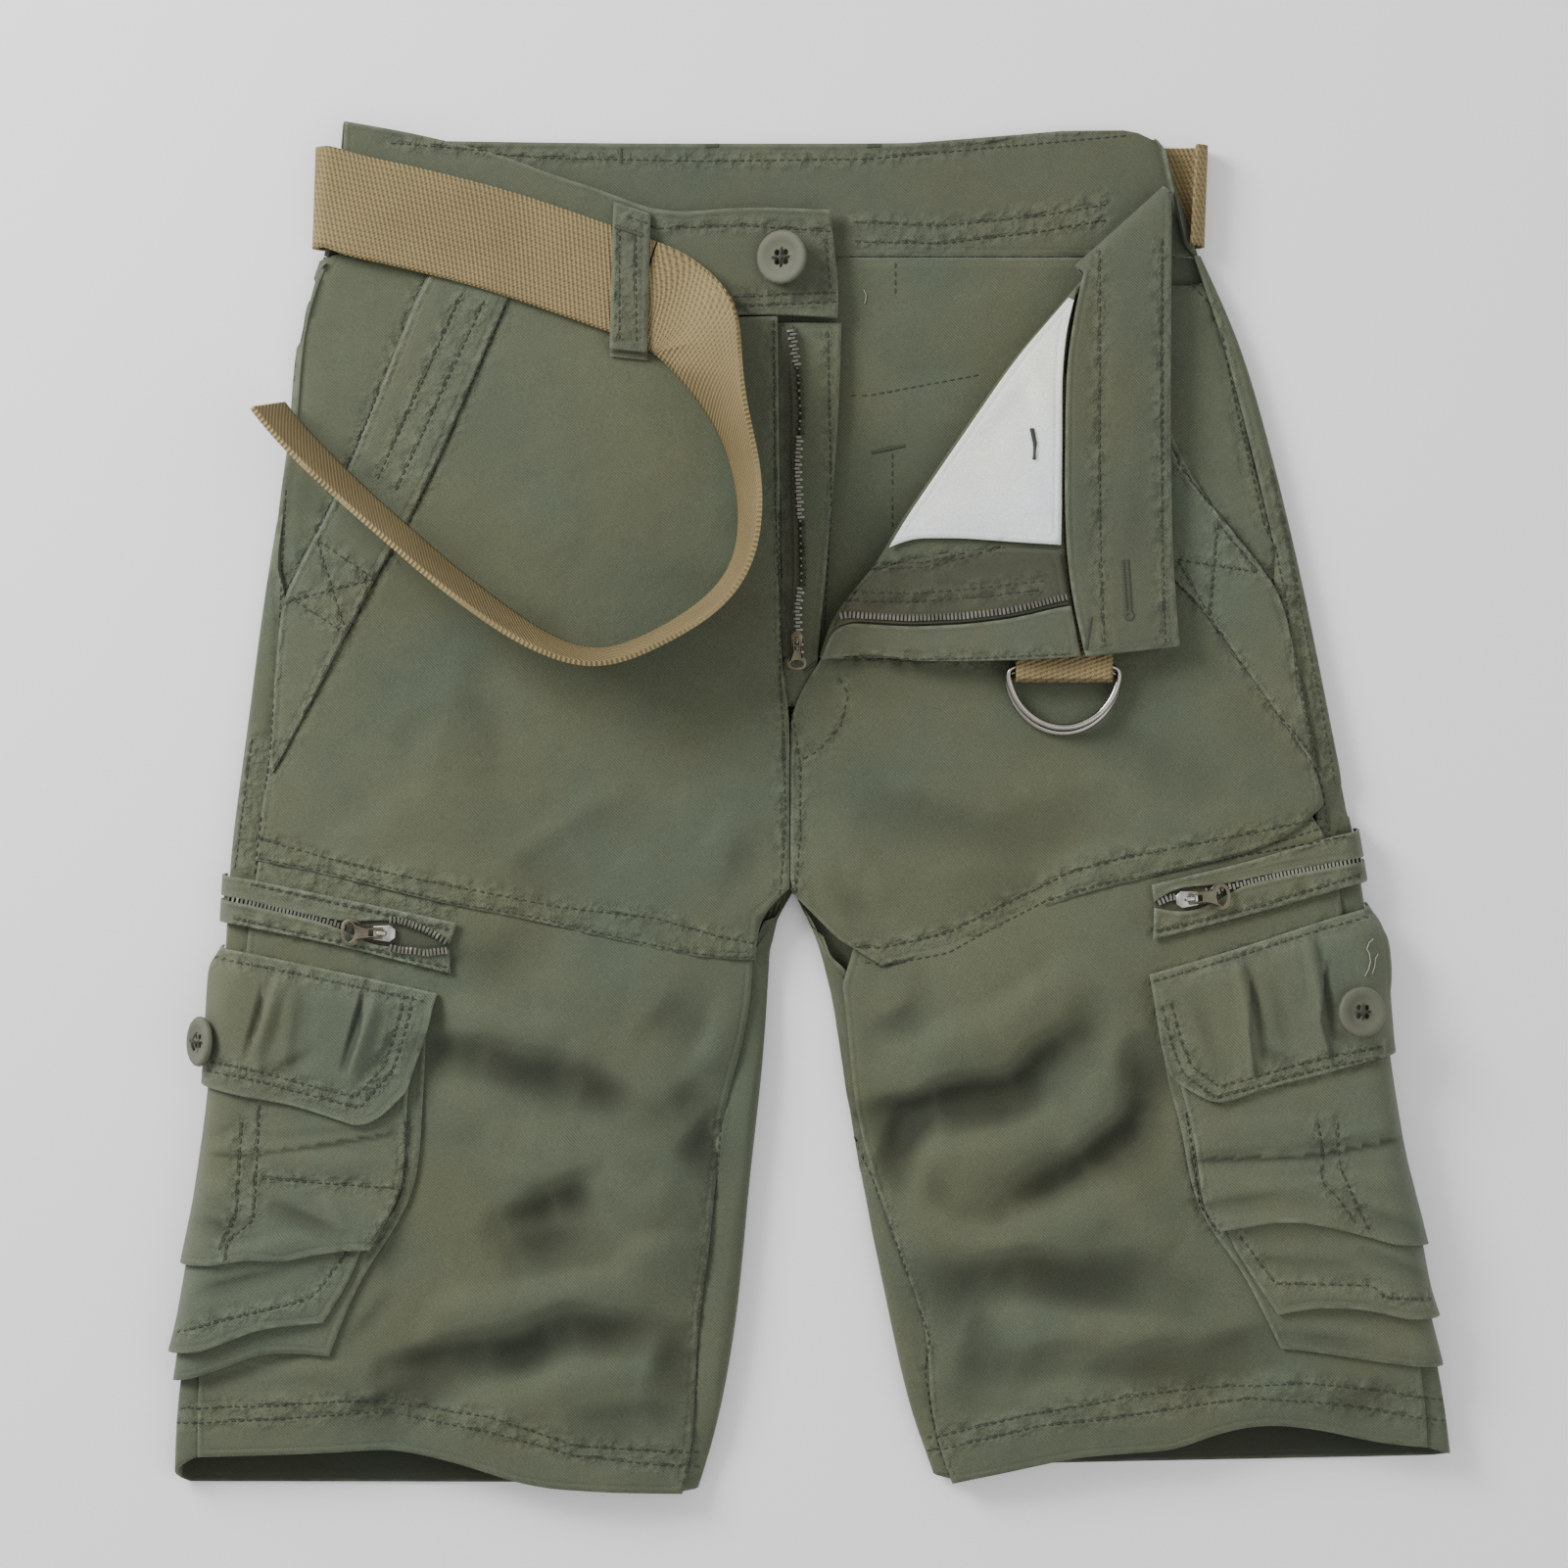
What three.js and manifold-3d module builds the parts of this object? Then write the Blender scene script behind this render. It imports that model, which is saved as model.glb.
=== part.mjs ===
// Cargo shorts lying flat on their back, with the left front folded open at the fly.
// Millimetres. +X is the wearer's left, +Y runs to the waist, +Z is up from the floor.
import * as THREE from 'three';
import Module from 'manifold-3d';

const wasm = await Module();
wasm.setup();

// Driving sizes
const CLOTH = 1.4;
const POCKET_CLOTH = 1.2;
const LINING = 0.9;
const SEAM_GAP = 0.3;
const CURVED_GAP = 1.0;
const WRAP_GAP = 1.9;
const LAID_GAP = 0.7;
const WAISTBAND = 2.4;
const BELT = { width: 41, thickness: 2 };
const BUTTON = { radius: 11, thickness: 3.2, hole: 1.3, holeSpread: 2.6 };
const RING = { inside: 42.6, depth: 25, wire: 3.2, rise: 3.5, offset: 2 };
const BACK_SEAM = 8;
const CROTCH = -34;

const finish = (color, roughness, metalness = 0) =>
  new THREE.MeshStandardMaterial({ color, roughness, metalness });
const twill = finish('#747a62', 0.9);
const twillBand = finish('#6b725b', 0.9);
const twillPocket = finish('#7a8068', 0.9);
const lining = finish('#e9f1ef', 0.85);
const webbing = finish('#a28f62', 0.9);
const tape = finish('#4c5340', 0.85);
const buttonPlastic = finish('#7b8070', 0.45);
const chrome = finish('#c3c4c0', 0.2, 1);
const brass = finish('#8f8a72', 0.35, 1);

const group = new THREE.Group();

// Sections of each half, a row for each height from the waist down to below the hem.
// outer: where the folded side lies; side: its height; top: height of the front's middle;
// under: height of the back's underside; inner, inside: the same for the inner leg;
// sideSeam, inseam: where those seams lie on the front. All are measured outward from X = 0.
const SECTION_COLUMNS =
  ['y', 'outer', 'side', 'top', 'under', 'inner', 'inside', 'sideSeam', 'inseam'];
const RIGHT_SECTIONS = [
  [282, 191.0, 9.5, 10.0, 2.3, 13.5, 15.0, 190.0, 21.0],
  [250, 193.5, 9.5, 10.4, 2.3, 13.5, 15.0, 192.5, 21.0],
  [232, 195.5, 9.5, 10.4, 2.3, 13.5, 15.0, 194.5, 21.0],
  [222, 200.5, 9.5, 10.2, 2.2, 13.5, 15.0, 199.5, 21.0],
  [205, 207.3, 9.5, 10.2, 0.0, 13.5, 15.0, 206.3, 21.0],
  [180, 211.3, 9.5, 10.8, 0.0, 13.5, 15.0, 210.0, 21.0],
  [145, 213.2, 10.0, 11.5, 0.0, 13.5, 15.0, 212.4, 21.0],
  [110, 220.0, 10.0, 12.3, 0.0, 13.5, 15.0, 215.0, 21.0],
  [75, 225.6, 10.5, 13.0, 0.0, 13.5, 15.0, 216.8, 21.0],
  [30, 230.0, 11.5, 14.0, 0.0, 13.5, 15.0, 219.4, 21.0],
  [-5, 235.6, 13.0, 15.4, 0.0, 13.5, 15.0, 223.6, 21.0],
  [-34, 237.6, 14.5, 16.6, 0.0, 13.5, 15.0, 226.6, 21.0],
  [-60, 238.8, 16.5, 17.4, 0.0, 17.2, 13.5, 229.0, 23.2],
  [-90, 240.0, 18.0, 18.6, 0.0, 18.0, 12.5, 232.0, 27.0],
  [-120, 242.0, 18.5, 19.2, 0.0, 21.2, 12.5, 235.0, 35.4],
  [-145, 245.5, 18.5, 19.2, 0.0, 24.8, 12.5, 239.0, 38.4],
  [-180, 249.0, 18.5, 18.8, 0.0, 26.8, 12.0, 242.0, 42.0],
  [-210, 254.0, 18.0, 18.0, 0.0, 30.1, 12.0, 247.0, 46.0],
  [-240, 258.5, 16.0, 16.5, 0.0, 35.2, 12.0, 248.4, 47.4],
  [-262, 259.2, 15.0, 15.5, 0.0, 40.8, 11.5, 248.7, 49.2],
  [-285, 259.2, 15.0, 15.0, 0.0, 47.5, 11.5, 249.0, 53.5],
];
const LEFT_SECTIONS = [
  [282, 141.0, 9.5, 10.0, 2.3, -5.5, 15.0, 140.0, 1.5],
  [250, 149.5, 9.5, 10.0, 2.3, -5.5, 15.0, 147.5, 1.5],
  [232, 153.0, 9.5, 10.0, 2.3, -5.5, 15.0, 150.5, 1.5],
  [222, 160.5, 9.5, 10.0, 2.2, -5.5, 15.0, 154.5, 1.5],
  [205, 169.7, 9.5, 10.0, 0.0, -5.5, 15.0, 160.0, 1.5],
  [180, 177.8, 9.5, 10.0, 0.0, -5.5, 15.0, 168.8, 1.5],
  [145, 187.5, 9.5, 10.0, 0.0, -5.5, 15.0, 177.0, 1.5],
  [110, 196.7, 10.0, 10.4, 0.0, -5.5, 15.0, 185.2, 1.5],
  [75, 202.9, 10.5, 11.0, 0.0, -5.5, 15.0, 194.0, 1.5],
  [30, 212.3, 12.0, 13.0, 0.0, -5.5, 15.0, 201.6, 1.5],
  [-5, 219.3, 13.5, 15.0, 0.0, -5.5, 15.0, 208.8, 1.5],
  [-34, 224.0, 15.0, 16.4, 0.0, -5.5, 15.0, 213.4, 1.5],
  [-60, 227.5, 16.5, 17.4, 0.0, 4.6, 13.5, 217.4, 10.5],
  [-90, 229.5, 18.0, 18.6, 0.0, 10.4, 12.5, 221.0, 14.5],
  [-120, 233.7, 18.5, 19.2, 0.0, 13.6, 12.5, 226.0, 17.5],
  [-145, 238.0, 18.5, 19.2, 0.0, 18.4, 12.5, 230.5, 23.5],
  [-180, 244.0, 18.5, 18.8, 0.0, 25.5, 12.0, 236.5, 35.4],
  [-210, 250.0, 18.0, 18.0, 0.0, 32.2, 12.0, 243.0, 46.0],
  [-240, 258.0, 16.0, 16.5, 0.0, 37.9, 12.0, 248.0, 47.9],
  [-262, 259.6, 15.0, 15.5, 0.0, 44.7, 11.5, 249.0, 52.3],
  [-285, 259.6, 15.0, 15.0, 0.0, 55.0, 11.5, 249.0, 60.0],
];

// Large folds in the fronts: depth under zero is a trough. A path runs outward from X = 0.
const RIGHT_FOLDS = [
  { depth: -3.0, width: 15, path: [[150, -97], [116, -101], [78, -117]] },
  { depth: 2.0, width: 16, path: [[140, -80], [100, -88], [64, -100]] },
  { depth: -2.4, width: 13, path: [[121, -169], [93, -157]] },
  { depth: -2.6, width: 12, path: [[53, -147], [35, -126]] },
  { depth: 2.2, width: 16, path: [[120, -140], [80, -150], [55, -166]] },
  { depth: -3.2, width: 14, path: [[171, -228], [130, -218], [89, -207], [64, -213], [48, -203]] },
  { depth: 2.4, width: 14, path: [[160, -205], [118, -196], [80, -192]] },
  { depth: -1.8, width: 14, path: [[127, -30], [98, -12], [71, 4]] },
  { depth: 1.4, width: 12, path: [[45, -20], [28, -4], [18, -6]] },
  { depth: -1.2, width: 12, path: [[161, 32], [144, 39]] },
  { depth: -1.2, width: 10, path: [[141, 7], [138, 60]] },
];
const LEFT_FOLDS = [
  { depth: -3.4, width: 15, path: [[19, -125], [35, -120], [71, -115], [98, -107], [107, -83]] },
  { depth: 2.2, width: 15, path: [[40, -92], [80, -84], [120, -64]] },
  { depth: -2.2, width: 11, path: [[38, -121], [30, -155]] },
  { depth: -3.2, width: 15, path: [[134, -97], [129, -125], [112, -141], [76, -157]] },
  { depth: 2.0, width: 15, path: [[60, -140], [96, -128]] },
  { depth: -3.0, width: 14, path: [[44, -187], [92, -188], [140, -184]] },
  { depth: 2.0, width: 14, path: [[70, -206], [130, -208], [165, -222]] },
  { depth: -2.0, width: 11, path: [[123, -224], [164, -213]] },
  { depth: 1.8, width: 12, path: [[4, -2], [14, -22], [34, -38]] },
  { depth: -1.4, width: 12, path: [[30, 2], [70, -8], [110, 2]] },
];

const halves = {
  right: { sign: -1, rows: RIGHT_SECTIONS, folds: RIGHT_FOLDS, seam: 9.15 },
  left: { sign: 1, rows: LEFT_SECTIONS, folds: LEFT_FOLDS, seam: -8.85 },
};

const clamp = THREE.MathUtils.clamp;
const lerp = THREE.MathUtils.lerp;
const smooth = (value) => THREE.MathUtils.smoothstep(value, 0, 1);

// One column of a half's sections at height y, on a smooth curve through the rows
function section(half, name, y) {
  const column = SECTION_COLUMNS.indexOf(name);
  const rows = half.rows;
  const last = rows.length - 1;
  const height = clamp(y, rows[last][0], rows[0][0]);
  let k = 0;
  while (k < last - 1 && rows[k + 1][0] > height) k += 1;
  const slope = (i) => {
    if (i <= 0 || i >= last) return 0;
    return (rows[i + 1][column] - rows[i - 1][column]) / (rows[i + 1][0] - rows[i - 1][0]);
  };
  const span = rows[k + 1][0] - rows[k][0];
  const t = (height - rows[k][0]) / span;
  const value = (2 * t ** 3 - 3 * t ** 2 + 1) * rows[k][column]
    + (3 * t ** 2 - 2 * t ** 3) * rows[k + 1][column]
    + (t ** 3 - 2 * t ** 2 + t) * span * slope(k)
    + (t ** 3 - t ** 2) * span * slope(k + 1);
  return value;
}

// Distance from a plan point to a path, and how far along the path it falls
function nearPath(path, x, y) {
  let best = { distance: Infinity, along: 0 };
  for (let i = 0; i < path.length - 1; i += 1) {
    const [ax, ay] = path[i];
    const [bx, by] = path[i + 1];
    const dx = bx - ax;
    const dy = by - ay;
    const t = clamp(((x - ax) * dx + (y - ay) * dy) / (dx * dx + dy * dy), 0, 1);
    const distance = Math.hypot(x - ax - t * dx, y - ay - t * dy);
    if (distance < best.distance) best = { distance, along: (i + t) / (path.length - 1) };
  }
  return best;
}

function foldHeight(folds, x, y) {
  let height = 0;
  for (const fold of folds) {
    const { distance, along } = nearPath(fold.path, x, y);
    if (distance >= fold.width) continue;
    const profile = (1 - (distance / fold.width) ** 2) ** 2;
    height += fold.depth * profile * Math.sqrt(Math.sin(Math.PI * clamp(along, 0.08, 0.92)));
  }
  return height;
}

const SIDE_BLEND = 30;
const FOLD_BLEND = 12;

// Sizes of the rounded sides at height y
function rounds(half, y) {
  const under = section(half, 'under', y);
  const outerRadius = (section(half, 'side', y) - under) / 2;
  const innerRadius = section(half, 'inside', y) / 2;
  return {
    under: Math.max(under, 0),
    outerRadius,
    outerStart: section(half, 'outer', y) - outerRadius,
    innerRadius,
    innerStart: section(half, 'inner', y) + innerRadius,
    split: y < CROTCH,
  };
}

// Height of the front's face over a plan point
function frontHeight(half, x, y) {
  const round = rounds(half, y);
  const middle = section(half, 'top', y);
  const side = section(half, 'side', y);
  const outside = smooth((round.outerStart - x) / SIDE_BLEND);
  let height = middle - (middle - side) * (1 - outside);
  let window = smooth((round.outerStart - x) / FOLD_BLEND);
  if (round.split) {
    const opened = smooth((CROTCH - y) / FOLD_BLEND);
    const inside = smooth((x - round.innerStart) / SIDE_BLEND);
    height -= opened * (middle - section(half, 'inside', y)) * (1 - inside);
    window *= lerp(1, smooth((x - round.innerStart) / FOLD_BLEND), opened);
  }
  return height + window * foldHeight(half.folds, x, y);
}

// The face of the cloth at unrolled distance p, which passes round the side and below it
function clothPoint(half, p, y) {
  const round = rounds(half, y);
  let x = p;
  let z;
  if (p > round.outerStart) {
    const angle = Math.min((p - round.outerStart) / round.outerRadius, Math.PI);
    const past = Math.max(0, p - round.outerStart - Math.PI * round.outerRadius);
    x = round.outerStart + round.outerRadius * Math.sin(angle) - past;
    z = round.under + round.outerRadius * (1 + Math.cos(angle));
  } else if (round.split && p < round.innerStart) {
    const angle = Math.min((round.innerStart - p) / round.innerRadius, Math.PI);
    x = round.innerStart - round.innerRadius * Math.sin(angle);
    z = section(half, 'inside', y) - round.innerRadius * (1 - Math.cos(angle));
    z += (1 - smooth((CROTCH - y) / FOLD_BLEND)) * (frontHeight(half, round.innerStart, y)
      - section(half, 'inside', y)) * (1 - smooth(angle / Math.PI));
  } else {
    z = frontHeight(half, p, y);
  }
  return new THREE.Vector3(half.sign * x, y, z);
}

// Plan distance x to unrolled distance. Past the outline, x counts cloth round the side.
function unroll(half, x, y) {
  const round = rounds(half, y);
  const outer = round.outerStart + round.outerRadius;
  if (x > outer) return round.outerStart + round.outerRadius * (Math.PI / 2) + (x - outer);
  if (x > round.outerStart) {
    const ratio = (x - round.outerStart) / round.outerRadius;
    return round.outerStart + round.outerRadius * Math.asin(ratio);
  }
  if (round.split && x < round.innerStart) {
    const ratio = clamp((round.innerStart - x) / round.innerRadius, 0, 1);
    return round.innerStart - round.innerRadius * Math.asin(ratio);
  }
  return x;
}

// A point raised from the face of the cloth by lift
function raised(half, p, y, lift) {
  const step = 0.4;
  const point = clothPoint(half, p, y);
  const across = clothPoint(half, p + step, y).sub(clothPoint(half, p - step, y));
  const along = clothPoint(half, p, y + step).sub(clothPoint(half, p, y - step));
  const normal = across.cross(along).multiplyScalar(half.sign).normalize();
  return point.addScaledVector(normal, lift);
}

// An edge through plan points, read by the share of its length
function edge(points) {
  const lengths = [0];
  for (let i = 1; i < points.length; i += 1) {
    const [ax, ay] = points[i - 1];
    const [bx, by] = points[i];
    lengths.push(lengths[i - 1] + Math.hypot(bx - ax, by - ay));
  }
  const total = lengths[lengths.length - 1];
  return (share) => {
    const target = clamp(share, 0, 1) * total;
    let k = 1;
    while (k < points.length - 1 && lengths[k] < target) k += 1;
    const t = (target - lengths[k - 1]) / (lengths[k] - lengths[k - 1]);
    return [lerp(points[k - 1][0], points[k][0], t), lerp(points[k - 1][1], points[k][1], t)];
  };
}

// An edge along one of a half's seams, from height y0 to y1, moved outward by shift
const seamEdge = (half, name, y0, y1, shift = 0) => (share) => {
  const y = lerp(y0, y1, share);
  return [section(half, name, y) + shift, y];
};

// A patch between four edges, each read from 0 to 1: across from inner to outer, up from hem
function patch(edges, map = (point) => point) {
  const { bottom, top, inner, outer } = edges;
  const at = (side, share) => map(side(share));
  return (u, v) => [0, 1].map((k) => {
    const low = at(bottom, u)[k];
    const high = at(top, u)[k];
    const near = at(inner, v)[k];
    const far = at(outer, v)[k];
    const corners = (1 - u) * (1 - v) * at(bottom, 0)[k] + u * (1 - v) * at(bottom, 1)[k]
      + (1 - u) * v * at(top, 0)[k] + u * v * at(top, 1)[k];
    return (1 - v) * low + v * high + (1 - u) * near + u * far - corners;
  });
}

// How much further a laid piece stands off where the side turns down
const SIDE_CLEAR = 0.9;
const sideClear = (half, p, y) => SIDE_CLEAR * smooth((p - rounds(half, y).outerStart + 8) / 8);

// A patch on a half's cloth, lifted by a number or by a function of the two shares
function onCloth(half, edges, lift, clear) {
  const flat = patch(edges, ([x, y]) => [unroll(half, x, y), y]);
  const liftAt = typeof lift === 'function' ? lift : () => lift;
  return (u, v) => {
    const [p, y] = flat(u, v);
    return raised(half, p, y, liftAt(u, v) + (clear ? sideClear(half, p, y) : 0));
  };
}

const evenly = (count) => Array.from({ length: count + 1 }, (_, i) => i / count);

// A closed mesh from triangles, turned so that its faces point out
function closedMesh(name, material, points, faces) {
  const positions = points.flatMap((point) => [point.x, point.y, point.z]);
  let volume = 0;
  for (const [a, b, c] of faces) {
    volume += points[a].dot(new THREE.Vector3().crossVectors(points[b], points[c]));
  }
  const turned = volume > 0 ? faces : faces.map(([a, b, c]) => [a, c, b]);
  const geometry = new THREE.BufferGeometry();
  geometry.setAttribute('position', new THREE.Float32BufferAttribute(positions, 3));
  geometry.setIndex(turned.flat());
  geometry.computeVertexNormals();
  const mesh = new THREE.Mesh(geometry, material);
  mesh.name = name;
  return mesh;
}

// A cloth wall: a grid of face points and a second grid one thickness behind it
function wallMesh(name, material, faceAt, columns, rows, thickness, turn) {
  const us = Array.isArray(columns) ? columns : evenly(columns);
  const vs = Array.isArray(rows) ? rows : evenly(rows);
  const step = 0.002;
  const face = [];
  const behind = [];
  for (const v of vs) {
    for (const u of us) {
      const point = faceAt(u, v);
      const across = faceAt(Math.min(u + step, 1), v).sub(faceAt(Math.max(u - step, 0), v));
      const along = faceAt(u, Math.min(v + step, 1)).sub(faceAt(u, Math.max(v - step, 0)));
      const normal = across.cross(along).multiplyScalar(turn).normalize();
      face.push(point);
      behind.push(point.clone().addScaledVector(normal, -thickness));
    }
  }
  const width = us.length;
  const height = vs.length;
  const behindStart = face.length;
  const faces = [];
  const quad = (a, b, c, d) => faces.push([a, b, c], [a, c, d]);
  for (let j = 0; j < height - 1; j += 1) {
    for (let i = 0; i < width - 1; i += 1) {
      const a = j * width + i;
      quad(a, a + 1, a + 1 + width, a + width);
      const b = behindStart + a;
      quad(b, b + width, b + 1 + width, b + 1);
    }
  }
  const rim = [];
  for (let i = 0; i < width - 1; i += 1) rim.push(i);
  for (let j = 0; j < height - 1; j += 1) rim.push(j * width + width - 1);
  for (let i = width - 1; i > 0; i -= 1) rim.push((height - 1) * width + i);
  for (let j = height - 1; j > 0; j -= 1) rim.push(j * width);
  rim.forEach((a, k) => {
    const b = rim[(k + 1) % rim.length];
    quad(b, a, a + behindStart, b + behindStart);
  });
  return closedMesh(name, material, face.concat(behind), faces);
}

// A sewn piece on a half's cloth
function sewnPiece(name, material, half, edges, options) {
  const { columns, rows, lift, thickness, clear = false } = options;
  const faceAt = onCloth(half, edges, lift, clear);
  group.add(wallMesh(name, material, faceAt, columns, rows, thickness, half.sign));
}

// A strap: rows of { at, side } with the same width and thickness all the way
function strapMesh(name, material, rows, width, thickness) {
  const points = [];
  const faces = [];
  const shares = [-0.5, 0, 0.5];
  rows.forEach(({ at, side }, k) => {
    const before = rows[Math.max(k - 1, 0)].at;
    const after = rows[Math.min(k + 1, rows.length - 1)].at;
    const across = side.clone().normalize();
    const normal = after.clone().sub(before).cross(across).normalize();
    for (const face of [0.5, -0.5]) {
      const line = face > 0 ? shares : [...shares].reverse();
      for (const share of line) {
        points.push(at.clone().addScaledVector(across, share * width)
          .addScaledVector(normal, face * thickness));
      }
    }
  });
  const loop = shares.length * 2;
  for (let k = 0; k < rows.length - 1; k += 1) {
    for (let i = 0; i < loop; i += 1) {
      const a = k * loop + i;
      const b = k * loop + (i + 1) % loop;
      faces.push([a, b, b + loop], [a, b + loop, a + loop]);
    }
  }
  const cap = (start, flip) => {
    const order = [[0, 1, 4], [0, 4, 5], [1, 2, 3], [1, 3, 4]];
    for (const [a, b, c] of order) {
      faces.push(flip ? [start + a, start + c, start + b] : [start + a, start + b, start + c]);
    }
  };
  cap(0, true);
  cap((rows.length - 1) * loop, false);
  return closedMesh(name, material, points, faces);
}

// A wire bent round a closed path that lies in one plane
function wireRing(name, material, path, normal, radius, sides) {
  const points = [];
  const faces = [];
  const count = path.length;
  path.forEach((point, k) => {
    const along = path[(k + 1) % count].clone().sub(path[(k + count - 1) % count]).normalize();
    const across = along.clone().cross(normal).normalize();
    for (let i = 0; i < sides; i += 1) {
      const angle = (2 * Math.PI * i) / sides;
      points.push(point.clone().addScaledVector(across, radius * Math.cos(angle))
        .addScaledVector(normal, radius * Math.sin(angle)));
    }
  });
  for (let k = 0; k < count; k += 1) {
    for (let i = 0; i < sides; i += 1) {
      const a = k * sides + i;
      const b = k * sides + ((i + 1) % sides);
      const c = ((k + 1) % count) * sides + ((i + 1) % sides);
      const d = ((k + 1) % count) * sides + i;
      faces.push([a, b, c], [a, c, d]);
    }
  }
  return closedMesh(name, material, points, faces);
}

function toManifold(geometry) {
  const position = geometry.getAttribute('position');
  const keys = new Map();
  const vertices = [];
  const triangles = [];
  const count = geometry.index ? geometry.index.count : position.count;
  for (let i = 0; i < count; i += 1) {
    const k = geometry.index ? geometry.index.getX(i) : i;
    const point = [position.getX(k), position.getY(k), position.getZ(k)];
    const key = point.map((value) => Math.round(value * 1e4)).join(' ');
    if (!keys.has(key)) {
      keys.set(key, vertices.length / 3);
      vertices.push(...point);
    }
    triangles.push(keys.get(key));
  }
  return new wasm.Manifold(new wasm.Mesh({
    numProp: 3,
    vertProperties: new Float32Array(vertices),
    triVerts: new Uint32Array(triangles),
  }));
}

function fromManifold(solid, name, material) {
  const mesh = solid.getMesh();
  const geometry = new THREE.BufferGeometry();
  geometry.setAttribute('position', new THREE.BufferAttribute(mesh.vertProperties, 3));
  geometry.setIndex(new THREE.BufferAttribute(mesh.triVerts, 1));
  geometry.computeVertexNormals();
  const piece = new THREE.Mesh(geometry, material);
  piece.name = name;
  return piece;
}

// Back of each leg: from the side seam round the side, across the floor and up the inseam
const BACK_WAIST = 225;
const BACK_HEMS = {
  right: [[53.5, -279], [84, -276], [112, -274.5], [200, -274], [259, -262]],
  left: [[60, -275.5], [88, -271], [120, -267.4], [200, -263], [259, -259.5]],
};
const BACK_SHARES = { wrap: 0.34, floor: 0.7 };
const CROTCH_TURN = 20;

function backPoint(half, hem) {
  const hemEdge = edge(hem);
  return (u, v) => {
    const hemY = hemEdge(1 - u)[1];
    const y = lerp(hemY, BACK_WAIST, v);
    const round = rounds(half, y);
    if (u <= BACK_SHARES.wrap) {
      const start = unroll(half, section(half, 'sideSeam', y) + WRAP_GAP, y);
      const end = round.outerStart + Math.PI * round.outerRadius;
      return clothPoint(half, lerp(start, end, u / BACK_SHARES.wrap), y);
    }
    const flatEnd = Math.max(round.innerStart, 14 - half.sign * BACK_SEAM);
    if (u <= BACK_SHARES.floor) {
      const share = (u - BACK_SHARES.wrap) / (BACK_SHARES.floor - BACK_SHARES.wrap);
      return new THREE.Vector3(half.sign * lerp(round.outerStart, flatEnd, share), y, round.under);
    }
    const share = (u - BACK_SHARES.floor) / (1 - BACK_SHARES.floor);
    const seam = half.sign < 0 ? BACK_SEAM + SEAM_GAP / 2 : -BACK_SEAM + SEAM_GAP / 2;
    const straight = new THREE.Vector3(half.sign * lerp(flatEnd, seam, share), y, round.under);
    if (!round.split) return straight;
    const turn = smooth((CROTCH - y) / CROTCH_TURN);
    const inseam = unroll(half, section(half, 'inseam', y) - WRAP_GAP, y);
    const full = round.innerStart - Math.PI * round.innerRadius;
    const end = lerp(full, inseam, turn);
    const wrapped = clothPoint(half, lerp(full, end, share), y);
    return straight.lerp(wrapped, smooth((CROTCH - y) / 8));
  };
}

const BACK_COLUMNS = [0, 0.05, 0.1, 0.15, 0.2, 0.25, 0.3, 0.34, 0.5, 0.7, 0.75, 0.8, 0.85, 0.9,
  0.95, 1];
const BACK_ROWS = [0, 0.06, 0.15, 0.25, 0.34, 0.42, 0.46, 0.485, 0.52, 0.62, 0.74, 0.85, 0.93, 1];

for (const [side, half] of Object.entries(halves)) {
  group.add(wallMesh(`back_${side}`, twill, backPoint(half, BACK_HEMS[side]),
    BACK_COLUMNS, BACK_ROWS, CLOTH, half.sign));
}

// Back waistband: round the right side, along the floor on the belt, and round the left side
const BACK_BAND_TOP = [[-191.5, 279.5], [-164, 276.5], [-140, 273.5], [-58, 271.3], [20, 271.3],
  [68, 273.4], [102, 277.8], [130, 279.6], [142, 279]];
const BACK_BAND_BOTTOM = [[-196, 225.4], [100, 225.4], [125, 228], [152, 230]];

function backBandPoint(u, v) {
  const ends = 0.22;
  const topY = edge(BACK_BAND_TOP)(u)[1];
  const bottomY = edge(BACK_BAND_BOTTOM)(u)[1];
  const y = lerp(bottomY, topY, v);
  const wrap = (half, share) => {
    const round = rounds(half, y);
    const start = unroll(half, section(half, 'sideSeam', y) + SEAM_GAP, y);
    return clothPoint(half, lerp(start, round.outerStart + Math.PI * round.outerRadius, share), y);
  };
  if (u <= ends) return wrap(halves.right, u / ends);
  if (u >= 1 - ends) return wrap(halves.left, (1 - u) / ends);
  const from = -rounds(halves.right, y).outerStart;
  const to = rounds(halves.left, y).outerStart;
  return new THREE.Vector3(lerp(from, to, (u - ends) / (1 - 2 * ends)), y,
    rounds(halves.right, y).under);
}
const BACK_BAND_COLUMNS = [0, 0.04, 0.08, 0.12, 0.16, 0.19, 0.22, 0.3, 0.4, 0.5, 0.6, 0.7, 0.78,
  0.81, 0.84, 0.88, 0.92, 0.96, 1];
group.add(wallMesh('waistband_back', twillBand, backBandPoint, BACK_BAND_COLUMNS, 3,
  WAISTBAND - 0.6, -1));

// Yoke seams, where the upper fronts lap the lower ones, from the inseam out to the side seam
const YOKES = {
  right: [[23, -61], [36, -61], [56, -58], [84, -51.5], [116, -44], [144, -39], [195, -26.5],
    [225.6, -20.5]],
  left: [[10.4, -61.8], [20, -62.5], [29, -63.5], [55, -58.5], [75, -48], [95, -37.5],
    [121, -30], [137, -27.3], [174, -18.5], [210, -7.5]],
};
const FRONT_HEMS = {
  right: [[52.5, -277.5], [80, -276.5], [112.4, -274.6], [144, -264.2], [167.6, -258.6],
    [203, -260.6], [248.6, -262]],
  left: [[57, -273.4], [105.6, -262.2], [120.4, -261], [148, -259], [166.4, -251],
    [184.8, -248.6], [203.2, -250.2], [230.4, -256.6], [249, -258]],
};

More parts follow.
